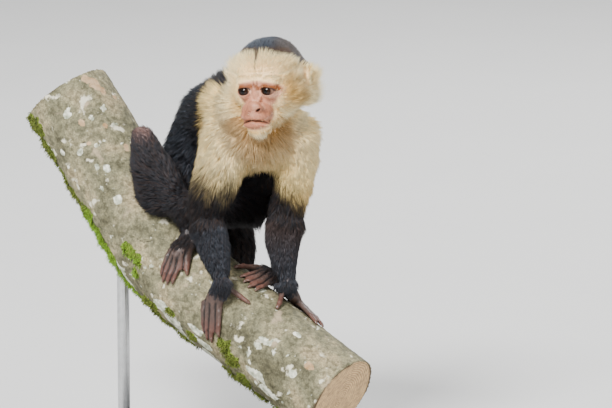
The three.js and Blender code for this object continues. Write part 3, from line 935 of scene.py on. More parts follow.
for k in range(3):
    lie[:, k] = (np.bincount(ends[0], rise[:, k], len(places))
                 + np.bincount(ends[1], rise[:, k], len(places)))
lie = unit(lie)
lie = spread(lie, edges, 25)
lie -= normals * np.sum(lie * normals, axis=1)[:, None]
lie = unit(lie)

COAT_LENGTH = {                      # mm of hair and its lift off the skin in degrees
    "trunk": (21, 24), "neck": (25, 36), "upper_arm_right": (18, 25), "upper_arm_left": (18, 27),
    "forearm_right": (12, 20), "forearm_left": (12, 20), "thigh_right": (16, 23),
    "thigh_left": (16, 23), "shin_right": (12, 20), "shin_left": (12, 20),
    "tail_1": (15, 22), "tail_2": (14, 22), "tail_3": (14, 22), "tail_4": (13, 22),
    "head": (12, 24), "ear_right": (9, 40), "ear_left": (9, 40),
    "hand_right": (4, 9), "hand_left": (4, 9), "foot_right": (4.5, 9), "foot_left": (4.5, 9),
}
length = np.array([COAT_LENGTH[n][0] for n in names], float)
lift = np.array([COAT_LENGTH[n][1] for n in names], float)
thickness = np.ones(len(places))
amount = np.ones(len(places))

crown = cap_mask(local, places)
beside = ease(17, 27, np.abs(side))
rear = 1 - ease(np.where(side < 0, 0, -14), np.where(side < 0, 17, 4), front)
ruff = rear * ease(12, 24, np.abs(side)) * (1 - crown) * (1 - ease(14, 29, up - 8 * (side < 0)))
jowl = ease(9, 20, np.abs(side)) * (1 - ease(-6, 6, up)) * (1 - ease(14, 22, front))
head_length = 2.6 + 9 * ease(1.0, 1.9, bare) + 5 * beside
head_length = np.where(up > 12, 4.4 + 6.3 * ease(14, 34, up), head_length)
head_length = np.where(up > 20, np.maximum(head_length, 8 + 7 * beside), head_length)
head_length = np.where(bare > 1.15, np.maximum(head_length, 5.0), head_length)
head_length = head_length + (23 - head_length) * jowl
head_length = head_length + (26 - head_length) * ruff
low_ruff = rear * (side > 0) * hump(up, -12, 14)
head_length += 5 * low_ruff
tuft = near(local, (-37, 0, 17), 13)
temple = near(local, (-29, 6, 34), 13)
head_length = (head_length + 11 * tuft) * (1 - 0.45 * temple)
head_length = np.where(crown > 0.5, 8.0, head_length)
chin = on_head & (up < -41) & (front > 5)
head_length = np.where(chin, 9 + 6 * hump(side, -1, 7), head_length)
by_ear = np.exp(-(np.hypot(np.hypot(np.abs(side) - 36, front + 7), (up - 7) * 0.8) / 11) ** 4)
by_ear *= np.where(side > 0, 1.0, 0.6)
head_length *= 1 - 0.75 * by_ear
head_lift = 13 + 10 * beside * (1 - crown) + np.where(side < 0, 46, 36) * ruff + 8 * chin
head_lift = np.maximum(head_lift, 40 * jowl) + 12 * tuft - 8 * temple
head_lift = np.where(crown > 0.5, 12.0, head_lift)
head_lift *= 1 - 0.4 * by_ear
length = np.where(on_head, head_length, length)
lift = np.where(on_head, head_lift, lift)
amount = np.where(bare < 1.2, 0.03 + 0.97 * ease(0.86, 1.2, bare), amount)
amount = np.where(on_head & (bare > 1.1) & (rear < 0.5), 1.35 + 0.5 * (up > 10), amount)
ears = np.isin(names, EARS)
amount = np.where(ears, 0.04, amount * (1 - 0.8 * by_ear * on_head))
length = np.where(ears, 4.0, length)
thickness = np.where(on_head, 0.66, thickness)
thickness = np.where(on_head & (ruff > 0.5), 0.8, thickness)
straight = np.where(on_head, 0.45, 1.0)      # share of the wander and of the locks
straight = np.where(names == "neck", 0.7, straight)

# the right knee is short-haired, and worn thin on top
knee = near(places / MM, (-80, -20, 357), 26)
length *= 1 - 0.5 * knee
lift *= 1 - 0.45 * knee

# round the wrists and ankles the hair is short, and it ends on the backs of hands and feet
for paw in PAWS.values():
    wrist = near(places / MM, paw["joint"], 20)
    length *= 1 - 0.1 * wrist
    lift *= 1 - 0.4 * wrist
thickness = np.where(paws, 0.8, thickness)
amount = np.where(paws, 1.0 - ease(-3, 12, wrist_far) + 0.02, amount)
length = np.where(paws, 3.5 + 8.0 * (1 - ease(-8, 12, wrist_far)), length)
lift = np.where(paws, 9 + 9 * (1 - ease(-8, 12, wrist_far)), lift)

# long hair hangs from the belly and from the side of the tail's root
x, y, z = (places / MM).T
belly = np.isin(names, ("trunk", "thigh_left")) * np.exp(-((x - 44) / 15) ** 4 - ((z - 270) / 17) ** 4)
tail_side = np.isin(names, ("tail_1", "tail_2")) * np.exp(-((x - 11) / 8) ** 4 - ((z - 240) / 28) ** 4)
length += 12 * belly + 9 * tail_side
lift += 20 * belly + 20 * tail_side
length = spread(length, edges, 8)
lift = spread(lift, edges, 8)
amount = spread(amount, edges, 2)
straight = spread(straight, edges, 6)

triangles = np.array([p.vertices[:] for p in hide.data.polygons])
corner_a, corner_b, corner_c = (places[triangles[:, k]] for k in range(3))
face_area = np.linalg.norm(np.cross(corner_b - corner_a, corner_c - corner_a), axis=1) / 2
face_part = parts[triangles[:, 0]]
CHART_FACES = 2500                   # of each flattened map


def unwrap(names):
    """A flattened map of the skin of some parts, for looking up where a root lies on it."""
    wanted = np.isin(part_names[face_part], names)
    form = bmesh.new()
    form.from_mesh(hide.data)
    form.faces.ensure_lookup_table()
    bmesh.ops.delete(form, geom=[form.faces[i] for i in np.nonzero(~wanted)[0]], context="FACES")
    patch = as_object(form, "patch")
    fewer = patch.modifiers.new("fewer", "DECIMATE")
    fewer.ratio = min(1.0, CHART_FACES / max(1, wanted.sum()))
    applied(patch)
    bpy.context.view_layer.objects.active = patch
    patch.select_set(True)
    bpy.ops.object.mode_set(mode="EDIT")
    bpy.ops.mesh.select_all(action="SELECT")
    bpy.ops.uv.smart_project(angle_limit=math.radians(60), island_margin=0.004)
    bpy.ops.object.mode_set(mode="OBJECT")
    flat = np.empty(len(patch.data.loops) * 2, np.float32)
    patch.data.uv_layers.active.data.foreach_get("uv", flat)
    flat = flat.reshape(-1, 3, 2)
    corners = [[patch.data.vertices[i].co.copy() for i in p.vertices] for p in patch.data.polygons]
    tree = BVHTree.FromPolygons([c for face in corners for c in face],
                                [(3 * i, 3 * i + 1, 3 * i + 2) for i in range(len(corners))])
    bpy.data.objects.remove(patch)
    return tree, np.array([[list(c) for c in face] for face in corners]), flat


def flattened(roots, chart):
    """Where each root lies on the flattened map."""
    tree, corners, flat = chart
    hits = [tree.find_nearest(p) for p in roots]
    face = np.array([h[2] for h in hits])
    spot = np.array([list(h[0]) for h in hits])
    a, b, c = (corners[face, k] for k in range(3))
    ab, ac, ap = b - a, c - a, spot - a
    d00, d01, d11 = (ab * ab).sum(1), (ab * ac).sum(1), (ac * ac).sum(1)
    d20, d21 = (ap * ab).sum(1), (ap * ac).sum(1)
    base = d00 * d11 - d01 * d01 + 1e-20
    v = (d11 * d20 - d01 * d21) / base
    w = (d00 * d21 - d01 * d20) / base
    return flat[face, 0] * (1 - v - w)[:, None] + flat[face, 1] * v[:, None] + flat[face, 2] * w[:, None]


hair, shader = new_material("hair", Specular_IOR_Level=0.18)
height = mottled(hair, shader, painted_tone(hair), 420.0, 0.88, 1.14)
rough_by(hair, shader, height, 0.48, 0.66)

# Roots are darker than tips: partly the hair's own colour, partly painted shade down in the coat.
CREAM_TIP = np.array((1.0, 0.76, 0.27))
CREAM_ROOT = np.array((0.94, 0.60, 0.17))
WHITE_TIP = np.array((1.0, 0.93, 0.66))
TAN_TIP = np.array((0.60, 0.27, 0.03))
TAN_DEEP = np.array((0.38, 0.165, 0.018))
BLACK_TIP = np.array((0.022, 0.023, 0.027))
BLACK_ROOT = np.array((0.009, 0.008, 0.009))
BROWN_TIP = np.array((0.070, 0.036, 0.021))
SHEEN_TIP = np.array((0.075, 0.092, 0.120))   # painted bluish sheen on back, crown and forearms
SMOKE_TIP = np.array((0.135, 0.112, 0.105))   # browner back of the crown
GROIN_TIP = np.array((0.42, 0.17, 0.09))


def coat_tones(root, end, names, pale, rng):
    """Root and tip colours of tufts, by where they grow and where they end."""
    count = len(root)
    local = head_axes(root)
    side, front, up = local.T
    at_head_part = np.isin(names, HEAD_NODES)
    white = ease(0.2, 0.9, 0.5 + 0.5 * wave(root, 30, 4.0))
    near_face = near(local, (0, 6, -4), 62)
    tip = mix(TAN_TIP, CREAM_TIP, 0.62 + 0.38 * np.maximum(white, near_face))
    tip = mix(tip, WHITE_TIP, near_face * 0.85)
    chin_tuft = at_head_part * hump(up, -44, 8) * (front > 5) * hump(side, 0, 13)
    x, y, z = (end / MM).T
    golden = (hump(x, 38, 27) * hump(z, 356, 26)
              + 0.75 * hump(x, 8, 12) * hump(z, 388, 26)
              + 0.65 * hump(x, 76, 12) * hump(z, 366, 24))
    golden = np.clip(1.7 * golden, 0, 1) * (y < -25) * ~(at_head_part & (up > -28)) * (1 - 0.8 * chin_tuft)
    tip = mix(tip, TAN_DEEP, golden * 0.9)
    brow = hump(up, 17, 7) * (front > 8) * hump(side, 0, 20)
    fold = hump(np.abs(side), 27.5, 4.5) * hump(up, -5, 18) * (front > -6)
    tip = mix(tip, np.array((0.74, 0.42, 0.13)), at_head_part * np.maximum(0.6 * brow, 0.5 * fold))
    tip = mix(tip, np.array((0.42, 0.24, 0.05)), at_head_part * 0.75 * fold * (side > 0))
    tip = mix(tip, WHITE_TIP, 0.7 * chin_tuft)
    shoulders = near(root / MM, (100, -40, 350), 45, 2) + near(root / MM, (2, -50, 350), 40, 2)
    tip = mix(tip, WHITE_TIP, np.clip(shoulders, 0, 1) * 0.6 * (1 - at_head_part))

    x, y, z = (root / MM).T
    dark = mix(BLACK_TIP, BROWN_TIP, rng.random(count) ** 2.5 * 0.7)
    # painted sheen: bluish grey tips on the black hair of the back and forearms, and a little on the right
    # leg
    sheen = near(root / MM, (-25, 60, 395), 60, 2) + near(root / MM, (-10, 60, 340), 45, 2)
    sheen = np.clip(sheen, 0, 1) * 0.85
    arm_ends = ("forearm_right", "forearm_left", "hand_right", "hand_left")
    sheen = np.where(np.isin(names, arm_ends), 0.5, sheen)
    sheen = np.where(np.isin(names, ("thigh_right", "shin_right")), 0.12, sheen)
    dark = mix(dark, SHEEN_TIP, sheen * rng.uniform(0.5, 1.0, count))
    # the crown's painted bluish sheen on its right turns to browner hair on its left and back
    crown_tip = mix(SHEEN_TIP * 1.15, SMOKE_TIP, ease(2, 18, side + 0.2 * (-front)))
    dark = np.where(at_head_part[:, None], crown_tip * rng.uniform(0.75, 1.05, count)[:, None], dark)
    frown = at_head_part & (front > 5) & (up < 38)
    dark = np.where(frown[:, None], np.array((0.13, 0.085, 0.06)), dark)
    groin = (names == "trunk") * hump(x, 27, 15) * hump(z, 287, 13) * 0.9
    dark = mix(dark, GROIN_TIP, groin)
    # painted shade under the belly: the hair low on the trunk and left thigh is darkened towards the bottom
    dark = mix(dark, BLACK_ROOT, 0.8 * np.isin(names, ("trunk", "thigh_left")) * (1 - ease(268, 284, z)))
    bald = near(root / MM, (-80, -26, 374), 11, 2)
    dark = mix(dark, np.array((0.34, 0.20, 0.17)), bald * 0.8)
    inner = (names == "forearm_left") * hump(z, 285, 30) * 0.5
    dark = mix(dark, BROWN_TIP * 1.4, inner)
    head_vary = rng.uniform(0.84, 1.08, count)
    vary = np.where(at_head_part, head_vary, rng.uniform(0.84, 1.08, count))[:, None]
    tip = mix(dark, tip, pale) * vary
    # the darker root colours are partly painted shade down in the coat
    pale_root = mix(CREAM_ROOT, TAN_DEEP, 0.85 * golden)
    root_tone = mix(mix(BLACK_ROOT, dark, 0.25 * np.ones(count)), pale_root, pale) * vary
    return root_tone, tip


CHART_STEP = 0.0013                  # of the map, between the corners of one tuft


def spikes(name, line, up_way, thick, flat, tones):
    """One mesh of closed three-sided spikes: base, middle and tip places, way off the skin,
    thickness, place on the flattened map and the colours of root and tip of each."""
    base, middle, tip = line
    tufts = len(base)
    start_way = middle - base
    start_way = unit(start_way)
    side_way = np.cross(start_way, up_way)
    side_way = unit(side_way)
    lift_way = np.cross(side_way, start_way)
    rings = []
    for centre, share in ((base, 0.8), (middle, 1.0)):
        for turn in (90, 210, 330):
            a = math.radians(turn)
            rings.append(centre + (side_way * math.cos(a) + lift_way * math.sin(a) * 0.7)
                         * (thick * share)[:, None])
    corners = np.stack([*rings, tip], axis=1)
    faces = np.array([(0, 2, 1), (0, 1, 4), (0, 4, 3), (1, 2, 5), (1, 5, 4), (2, 0, 3), (2, 3, 5),
                      (3, 4, 6), (4, 5, 6), (5, 3, 6)])
    order = (np.arange(tufts)[:, None, None] * 7 + faces).reshape(-1, 3)
    mesh = bpy.data.meshes.new(name)
    mesh.vertices.add(tufts * 7)
    mesh.vertices.foreach_set("co", corners.astype(np.float32).ravel())
    mesh.loops.add(len(order) * 3)
    mesh.loops.foreach_set("vertex_index", order.astype(np.int32).ravel())
    mesh.polygons.add(len(order))
    mesh.polygons.foreach_set("loop_start", np.arange(0, len(order) * 3, 3, dtype=np.int32))
    mesh.update(calc_edges=True)
    mesh.polygons.foreach_set("use_smooth", np.ones(len(order), bool))

    patch = np.array([(0, 0), (1, 0), (2, 0), (0, 1), (1, 1), (2, 1), (1, 2)]) * CHART_STEP
    uv = (flat[:, None, :] + patch[None]).reshape(-1, 2)
    layer = mesh.uv_layers.new(name="OFBake")
    layer.data.foreach_set("uv", uv[order.ravel()].astype(np.float32).ravel())

    # each tuft runs from its darker root, partly painted shade, to its tip
    root_tone, tip_tone = tones
    tone = np.concatenate([np.repeat(root_tone[:, None], 3, 1),
                           np.repeat(mix(root_tone, tip_tone, 0.75)[:, None], 3, 1),
                           tip_tone[:, None]], axis=1)
    carry(mesh, "tone", tone.reshape(-1, 3))
    piece = bpy.data.objects.new(name, mesh)
    bpy.context.collection.objects.link(piece)
    return piece


TUFT_WIDTH = 0.72                    # mm
LOCK = 9                             # tufts that draw together
ROOT_DEPTH = 0.4                     # mm of each tuft in the skin


def coat(name, part_list, tufts, seed, width=TUFT_WIDTH, where=1.0):
    """One piece of coat over some parts of the body."""
    rng = np.random.default_rng(seed)
    wanted = np.isin(part_names[face_part], part_list)
    odds = face_area * (amount * where)[triangles].mean(1) * wanted
    face = rng.choice(len(triangles), tufts, p=odds / odds.sum())
    u, v = rng.random((2, tufts))
    flip = u + v > 1
    u, v = np.where(flip, 1 - u, u), np.where(flip, 1 - v, v)
    weights = np.c_[1 - u - v, u, v]

    def at_root(values):
        """Values per vertex, read off where each tuft is rooted."""
        got = values[triangles[face]]
        return (got * weights[:, :, None]).sum(1) if got.ndim == 3 else (got * weights).sum(1)

    root = at_root(places)
    up_way = at_root(normals)
    up_way = unit(up_way)
    flow = at_root(lie)
    flow -= up_way * (flow * up_way).sum(1)[:, None]
    flow = unit(flow)
    across = np.cross(up_way, flow)
    long = at_root(length) * rng.uniform(0.72, 1.12, tufts)
    rise_by = np.radians(at_root(lift) + rng.normal(0, 4.5, tufts))
    swing = 0.20 * wave(root, 5, 2.0) + 0.13 * wave(root, 11, 5.0) + rng.normal(0, 0.10, tufts)
    wander = at_root(straight)
    swing *= wander
    way = flow * np.cos(swing)[:, None] + across * np.sin(swing)[:, None]
    start_way = way * np.cos(rise_by)[:, None] + up_way * np.sin(rise_by)[:, None]
    end_rise = rise_by * 0.45
    end_way = way * np.cos(end_rise)[:, None] + up_way * np.sin(end_rise)[:, None]
    base = root - up_way * ROOT_DEPTH * MM
    middle = base + start_way * (long * 0.52 * MM)[:, None]
    tip = middle + end_way * (long * 0.50 * MM)[:, None]

    # neighbouring tufts draw together into locks
    leaders = np.arange(0, tufts, LOCK)
    tree = KDTree(len(leaders))
    for i, lead in enumerate(leaders):
        tree.insert(root[lead], i)
    tree.balance()
    lead = leaders[[tree.find(p)[1] for p in root]]
    pull = (0.42 * wander)[:, None]
    tip = tip + (tip[lead] - tip) * pull
    middle = middle + (middle[lead] - middle) * pull * 0.3

    thick = at_root(thickness) * width * rng.uniform(0.75, 1.2, tufts) * MM / 2
    pale = cream_mask(root, parts[triangles[face, 0]])
    pale = np.clip(pale + rng.normal(0, 0.10, tufts) * (pale > 0.02) * (pale < 0.98), 0, 1)
    is_pale = rng.random(tufts) < ease(0.25, 0.75, pale)
    pale = np.where(is_pale, np.maximum(pale, 0.75), np.minimum(pale, 0.2))
    root_tone, tip_tone = coat_tones(root, tip, part_names[parts[triangles[face, 0]]], pale, rng)
    flat = flattened(root, unwrap(part_list))
    piece = spikes(name, (base, middle, tip), up_way, thick, flat, (root_tone, tip_tone))
    piece.data.materials.append(hair)
    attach(piece, "root")
    return piece


front_share = ease(-12, -4, local[:, 1])
COATS = [                            # name, nodes, tufts, and where it differs width and share
    ("coat_face", HEAD_NODES, 14500, 0.50, front_share),
    ("coat_head", HEAD_NODES, 14500, 0.66, 1 - front_share),
    ("coat_neck", ["neck"], 11000),
    ("coat_upper_arm_right", ["upper_arm_right"], 13500),
    ("coat_upper_arm_left", ["upper_arm_left"], 13500),
    ("coat_forearms", ["forearm_right", "forearm_left"], 14000),
    ("coat_trunk", ["trunk"], 19500),
    ("coat_thigh_right", ["thigh_right"], 9500),
    ("coat_thigh_left", ["thigh_left"], 9500),
    ("coat_shins", ["shin_right", "shin_left"], 10000),
    ("coat_tail", ["tail_1", "tail_2", "tail_3", "tail_4"], 12500),
    ("coat_paws", [*PAWS], 7000),
]
for seed, (name, part_list, tufts, *rest) in enumerate(COATS, 11):
    coat(name, part_list, tufts, seed, *rest)


# ---------------------------------------------------------------------------- eyes
# Blown glass balls with a raised clear cornea, set behind the lids. The colour is painted
# behind the glass: a near-black pupil, a very dark brown iris and a brownish white.

GAZE = math.radians(-7)              # turn of both eyes towards the animal's right
CORNEA = math.radians(38)
eye_glass, shader = new_material("eye_glass", Coat_Weight=0.4, Coat_Roughness=0.015,
                                        Specular_IOR_Level=0.0)
eye_map = add_node(eye_glass, "ShaderNodeUVMap", uv_map="eye")
split = add_node(eye_glass, "ShaderNodeSeparateXYZ")
rays = add_node(eye_glass, "ShaderNodeTexNoise")
rays.inputs["Scale"].default_value = 26.0
stretch = add_node(eye_glass, "ShaderNodeMapping")
stretch.inputs["Scale"].default_value = (3.0, 0.35, 1.0)
edge = add_node(eye_glass, "ShaderNodeMath", operation="MULTIPLY_ADD")
edge.inputs[1].default_value = 0.018
ramp = add_node(eye_glass, "ShaderNodeValToRGB").color_ramp
for spot, colour in ((0.0, (0.16, 0.085, 0.055, 1)), (0.70, (0.22, 0.125, 0.085, 1)),
                     (0.775, (0.08, 0.035, 0.02, 1)), (0.808, (0.004, 0.002, 0.002, 1)),
                     (0.855, (0.022, 0.008, 0.003, 1)), (0.905, (0.014, 0.005, 0.002, 1)),
                     (0.935, (0.001, 0.001, 0.001, 1))):
    stop = ramp.elements[0] if spot == 0.0 else ramp.elements.new(spot)
    stop.color = colour
ramp.elements[-1].color = (0.002, 0.002, 0.002, 1)
ramp_node = [n for n in eye_glass.node_tree.nodes if n.type == "VALTORGB"][0]
links = eye_glass.node_tree.links
for out, into in (
    (eye_map.outputs["UV"], split.inputs["Vector"]), (eye_map.outputs["UV"], stretch.inputs["Vector"]),
    (stretch.outputs["Vector"], rays.inputs["Vector"]), (rays.outputs["Fac"], edge.inputs[0]),
    (split.outputs["Y"], edge.inputs[2]), (edge.outputs["Value"], ramp_node.inputs["Fac"]),
    (ramp_node.outputs["Color"], shader.inputs["Base Color"]),
):
    links.new(out, into)
rough_by(eye_glass, shader, rays.outputs["Fac"], 0.35, 0.5)

for side_way, name in ((-1, "eye_right"), (1, "eye_left")):
    ball_form = bmesh.new()
    ball_form.loops.layers.uv.new("eye")
    bmesh.ops.create_uvsphere(ball_form, u_segments=64, v_segments=48, radius=EYE_BALL * MM,
                              calc_uvs=True)
    for vert in ball_form.verts:
        off = vert.co.angle(Vector((0, 0, 1)))
        if off < CORNEA:
            vert.co *= 1 + 0.075 * (0.5 + 0.5 * math.cos(math.pi * off / CORNEA))
    spot = at_head(side_way * EYE_SIDE, EYE_FRONT, EYE_UP) @ Matrix.Rotation(GAZE, 4, "Z")
    bmesh.ops.transform(ball_form, matrix=spot @ Matrix.Rotation(math.pi / 2, 4, "X"),
                        verts=ball_form.verts)
    eye = as_object(ball_form, "glass_" + name)
    eye.data.shade_smooth()
    eye.data.materials.append(eye_glass)
    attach(eye, "root")
    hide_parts(name)


# ---------------------------------------------------------------------------- nails
# Twenty narrow horny nails, arched from side to side and bent down over the tips of the
# fingers and toes. They are cast in dark resin and let into the skin.

NAIL_LENGTH, THUMBNAIL_LENGTH = 6.4, 5.6
NAIL_THICKNESS = 0.5

nails_form = bmesh.new()
for index, tip, tip_way, out_way, thick in nail_places:
    wide = thick * MM * 0.80
    long = (NAIL_LENGTH if index else THUMBNAIL_LENGTH) * MM
    nail = bmesh.new()
    bmesh.ops.create_grid(nail, x_segments=6, y_segments=8, size=1.0)
    for vert in nail.verts:
        across, along = vert.co.x, (vert.co.y + 1) / 2
        taper = math.sqrt(max(0.0, 1 - max(0.0, (along - 0.45) / 0.58) ** 2)) * 0.9 + 0.1
        x = across * wide * taper
        arch = math.sqrt(max(0.0, 1 - (across * 0.86) ** 2))
        z = thick * MM * (arch * 0.98 - 0.06) - 1.5 * MM * along ** 2.2 * 1.3
        vert.co = Vector((x, (along - 0.50) * long, z))
    bmesh.ops.solidify(nail, geom=nail.faces, thickness=NAIL_THICKNESS * MM)
    bmesh.ops.recalc_face_normals(nail, faces=nail.faces)
    up_way = (out_way - tip_way * out_way.dot(tip_way)).normalized()
    across_way = tip_way.cross(up_way)
    turn = Matrix((across_way, tip_way, up_way)).transposed().to_4x4()
    bmesh.ops.transform(nail, matrix=Matrix.Translation(tip + tip_way * 0.4 * MM) @ turn,
                        verts=nail.verts)
    add_form(nails_form, nail)
bmesh.ops.recalc_face_normals(nails_form, faces=nails_form.faces)
nails = as_object(nails_form, "nails")
nails.data.shade_smooth()
horn, shader = new_material("horn", Specular_IOR_Level=0.55, Coat_Weight=0.25,
                                   Coat_Roughness=0.25)
height = mottled(horn, shader, (0.085, 0.038, 0.024, 1), 900.0, 0.6, 1.6)
rough_by(horn, shader, height, 0.25, 0.42)
add_bump(horn, shader, height, 0.2, 0.0003)
nails.data.materials.append(horn)
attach(nails, "root")


# ---------------------------------------------------------------------------- branch
# A cut length of a real limb, about 95 mm thick: smooth mottled bark with lichen and moss,
# sawn off square at both ends, where the rings and the edge of the bark show.

BRANCH_VOXEL = 1.7 * MM
MOSS, LICHEN, RUST = range(3)
GROWTHS = [                          # mm along, degrees round, half length, half width, kind
    (134, 82, 24, 17, MOSS), (156, 84, 20, 18, MOSS), (180, 84, 18, 15, MOSS),
    (199, 92, 16, 11, MOSS), (190, 36, 11, 8, MOSS), (207, 31, 8, 6, MOSS), (213, 44, 6, 5, MOSS),
    (12, 76, 22, 17, MOSS), (42, 86, 24, 15, MOSS), (80, 92, 26, 12, MOSS), (106, 88, 18, 10, MOSS),
    (267, 51, 7, 5, MOSS), (240, 70, 14, 8, MOSS), (252, 92, 20, 12, MOSS), (286, 97, 20, 11, MOSS),
    (344, 38, 11, 9, MOSS), (358, 49, 14, 10, MOSS), (374, 76, 15, 13, MOSS), (356, 92, 18, 12, MOSS),
    (300, 62, 8, 6, MOSS), (222, 84, 16, 7, MOSS), (392, 96, 16, 12, MOSS), (432, 88, 20, 10, MOSS),
    (73, 24, 4, 4, LICHEN), (104, 5, 5, 4, LICHEN), (140, 12, 6, 5, LICHEN), (96, 14, 4, 3, LICHEN),
    (20, 84, 15, 4, LICHEN), (194, 72, 12, 5, LICHEN), (208, 79, 15, 4, LICHEN),
    (215, 84, 10, 4, LICHEN), (303, 47, 12, 5, LICHEN), (315, 60, 16, 5, LICHEN),
    (326, 76, 14, 6, LICHEN), (392, 44, 14, 6, LICHEN), (411, 56, 18, 6, LICHEN),
    (255, 54, 12, 9, LICHEN), (272, 68, 15, 11, LICHEN), (288, 82, 14, 8, LICHEN),
    (384, -1, 9, 3, LICHEN), (380, 9, 5, 3, LICHEN), (405, -34, 6, 4, LICHEN),
    (60, 50, 4, 4, LICHEN), (32, 12, 5, 4, LICHEN), (48, -12, 4, 3, LICHEN), (430, 10, 7, 5, LICHEN),
    (330, -60, 9, 6, LICHEN), (150, 150, 20, 14, LICHEN), (300, 160, 24, 12, LICHEN),
    (90, 200, 18, 12, LICHEN), (380, 190, 16, 14, LICHEN), (230, 230, 18, 10, LICHEN),
    (18, -41, 9, 7, RUST), (9, -34, 7, 6, RUST), (27, -47, 6, 5, RUST), (62, -22, 4, 3, RUST),
    (92, -32, 5, 3, RUST), (48, 2, 5, 4, RUST), (70, 8, 4, 3, RUST), (36, -62, 4, 3, RUST),
    (120, 210, 12, 8, RUST), (330, 240, 10, 8, RUST), (440, -10, 7, 4, RUST),
]
CRACKS = [((182, 20), (194, 11)), ((194, 11), (200, -2)), ((64, 20), (68, 8)), ((262, 150), (280, 140))]

branch = fused(as_object(merged_node("perch_branch"), "branch_bark"), BRANCH_VOXEL, 3)
places, normals, edges = arrays(branch.data)
line_step = 4
line_tree = KDTree(len(branch_places[::line_step]))
for i, place in enumerate(branch_places[::line_step]):
    line_tree.insert(place * MM, i)
line_tree.balance()
nearest = np.array([line_tree.find(p)[1] for p in places]) * line_step
before = branch_places[np.maximum(nearest - 3, 0)]
after = branch_places[np.minimum(nearest + 3, len(branch_places) - 1)]
run = unit(after - before)
offset = places / MM - branch_places[nearest]
ahead = (offset * run).sum(1)
offset -= run * ahead[:, None]
radius = np.linalg.norm(offset, axis=1)
outward = offset / (radius[:, None] + 1e-9)
along = branch_lengths[nearest] + ahead
front_way = np.array(BRANCH_FRONT) - run * (run @ np.array(BRANCH_FRONT))[:, None]
front_way = unit(front_way)
under_way = np.cross(run, front_way)
round_by = np.degrees(np.arctan2((outward * under_way).sum(1), (outward * front_way).sum(1)))
on_side = ease(0.80, 0.97, radius / BRANCH_RADIUS) * (1 - np.abs((normals * run).sum(1)) > 0.35)
on_end = (np.abs((normals * run).sum(1)) > 0.7) & ((along < 6) | (along > branch_lengths[-1] - 6))


def lumps(places, size, seed):
    """Uneven relief from -1 to 1 about that many mm across."""
    shift = Vector((seed, 2 * seed, -seed))
    return np.array([noise.fractal(Vector(p) / (size * MM) + shift, 1.0, 2.0, 4) for p in places])


coarse = lumps(places, 34, 1.0)
medium = lumps(places, 11, 4.0)
fine = lumps(places, 4.0, 9.0)
growth = np.zeros((len(places), 3))
for at, turn, half_long, half_wide, kind in GROWTHS:
    off = np.abs((round_by - turn + 180) % 360 - 180) * ROUND_MM
    reach = np.hypot((along - at) / half_long, off / half_wide) + 0.42 * medium + 0.22 * fine
    growth[:, kind] = np.maximum(growth[:, kind], 1 - ease(0.72, 1.1, reach))
under = ease(95, 130, np.abs(round_by)) * ease(0.05, 0.4, medium + 0.3 * fine)
growth[:, MOSS] = np.maximum(growth[:, MOSS], under * 0.9 * (round_by > 0))
scattered = ease(0.62, 0.80, lumps(places, 12, 17.0) + 0.25 * fine) * 0.75
growth[:, LICHEN] = np.maximum(growth[:, LICHEN], scattered)
crack = np.zeros(len(places))
for (a0, t0), (a1, t1) in CRACKS:
    p = np.c_[along - a0, (round_by - t0) * ROUND_MM]
    d = np.array((a1 - a0, (t1 - t0) * ROUND_MM))
    t = np.clip(p @ d / (d @ d), 0, 1)
    off = np.linalg.norm(p - t[:, None] * d, axis=1) + 0.8 * fine
    crack = np.maximum(crack, 0.75 * hump(off, 0, 1.0))
relief = 0.55 * coarse + 0.45 * medium + 0.30 * fine + 0.7 * growth[:, MOSS] * (1 + fine) \
    + 0.25 * growth[:, LICHEN] - 1.9 * crack
places = places + outward * ((BRANCH_RADIUS + 0.1 - radius) * on_side + relief * on_side)[:, None] * MM
saw = 0.12 * np.sin(radius * 0.9 + 3 * medium) + 0.15 * fine
places += normals * (saw * on_end)[:, None] * MM
branch.data.vertices.foreach_set("co", places.ravel())
branch.data.shade_smooth()

ring = radius + 1.6 * coarse + 0.5 * medium + 1.1 * np.sin(np.radians(round_by) * 2 + 0.6)
carry(branch.data, "growth", growth)
carry(branch.data, "sawn", np.c_[on_end.astype(float), ring / 60, crack])

bark, shader = new_material("bark", Specular_IOR_Level=0.25)
links = bark.node_tree.links
add_node(bark, "ShaderNodeTexCoord")


def noise_ramp(material, scale, stops, detail=4.0):
    """A noise on the object's own places, and the colours it runs through."""
    cloud = add_node(material, "ShaderNodeTexNoise")
    cloud.inputs["Scale"].default_value = scale
    cloud.inputs["Detail"].default_value = detail
    band = add_node(material, "ShaderNodeValToRGB")
    for k, (spot, colour) in enumerate(stops):
        stop = band.color_ramp.elements[k] if k < 2 else band.color_ramp.elements.new(spot)
        stop.position = spot
        stop.color = (*colour, 1)
    link = material.node_tree.links
    link.new(material.node_tree.nodes["Texture Coordinate"].outputs["Object"], cloud.inputs["Vector"])
    link.new(cloud.outputs["Fac"], band.inputs["Fac"])
    return band.outputs["Color"], cloud.outputs["Fac"]


def blend(material, first, second, share, kind="MIX"):
    """Mixes two colours in a material by a share."""
    node = add_node(material, "ShaderNodeMix", data_type="RGBA", blend_type=kind)
    for value, socket in ((share, node.inputs[0]), (first, node.inputs[6]), (second, node.inputs[7])):
        if isinstance(value, bpy.types.NodeSocket):
            material.node_tree.links.new(value, socket)
        else:
            socket.default_value = value
    return node.outputs[2]


def clipped(material, value, low, high):
    """A mask that runs from 0 to 1 between two values."""
    node = add_node(material, "ShaderNodeMapRange", interpolation_type="SMOOTHSTEP")
    node.inputs["From Min"].default_value = low
    node.inputs["From Max"].default_value = high
    material.node_tree.links.new(value, node.inputs["Value"])
    return node.outputs["Result"]


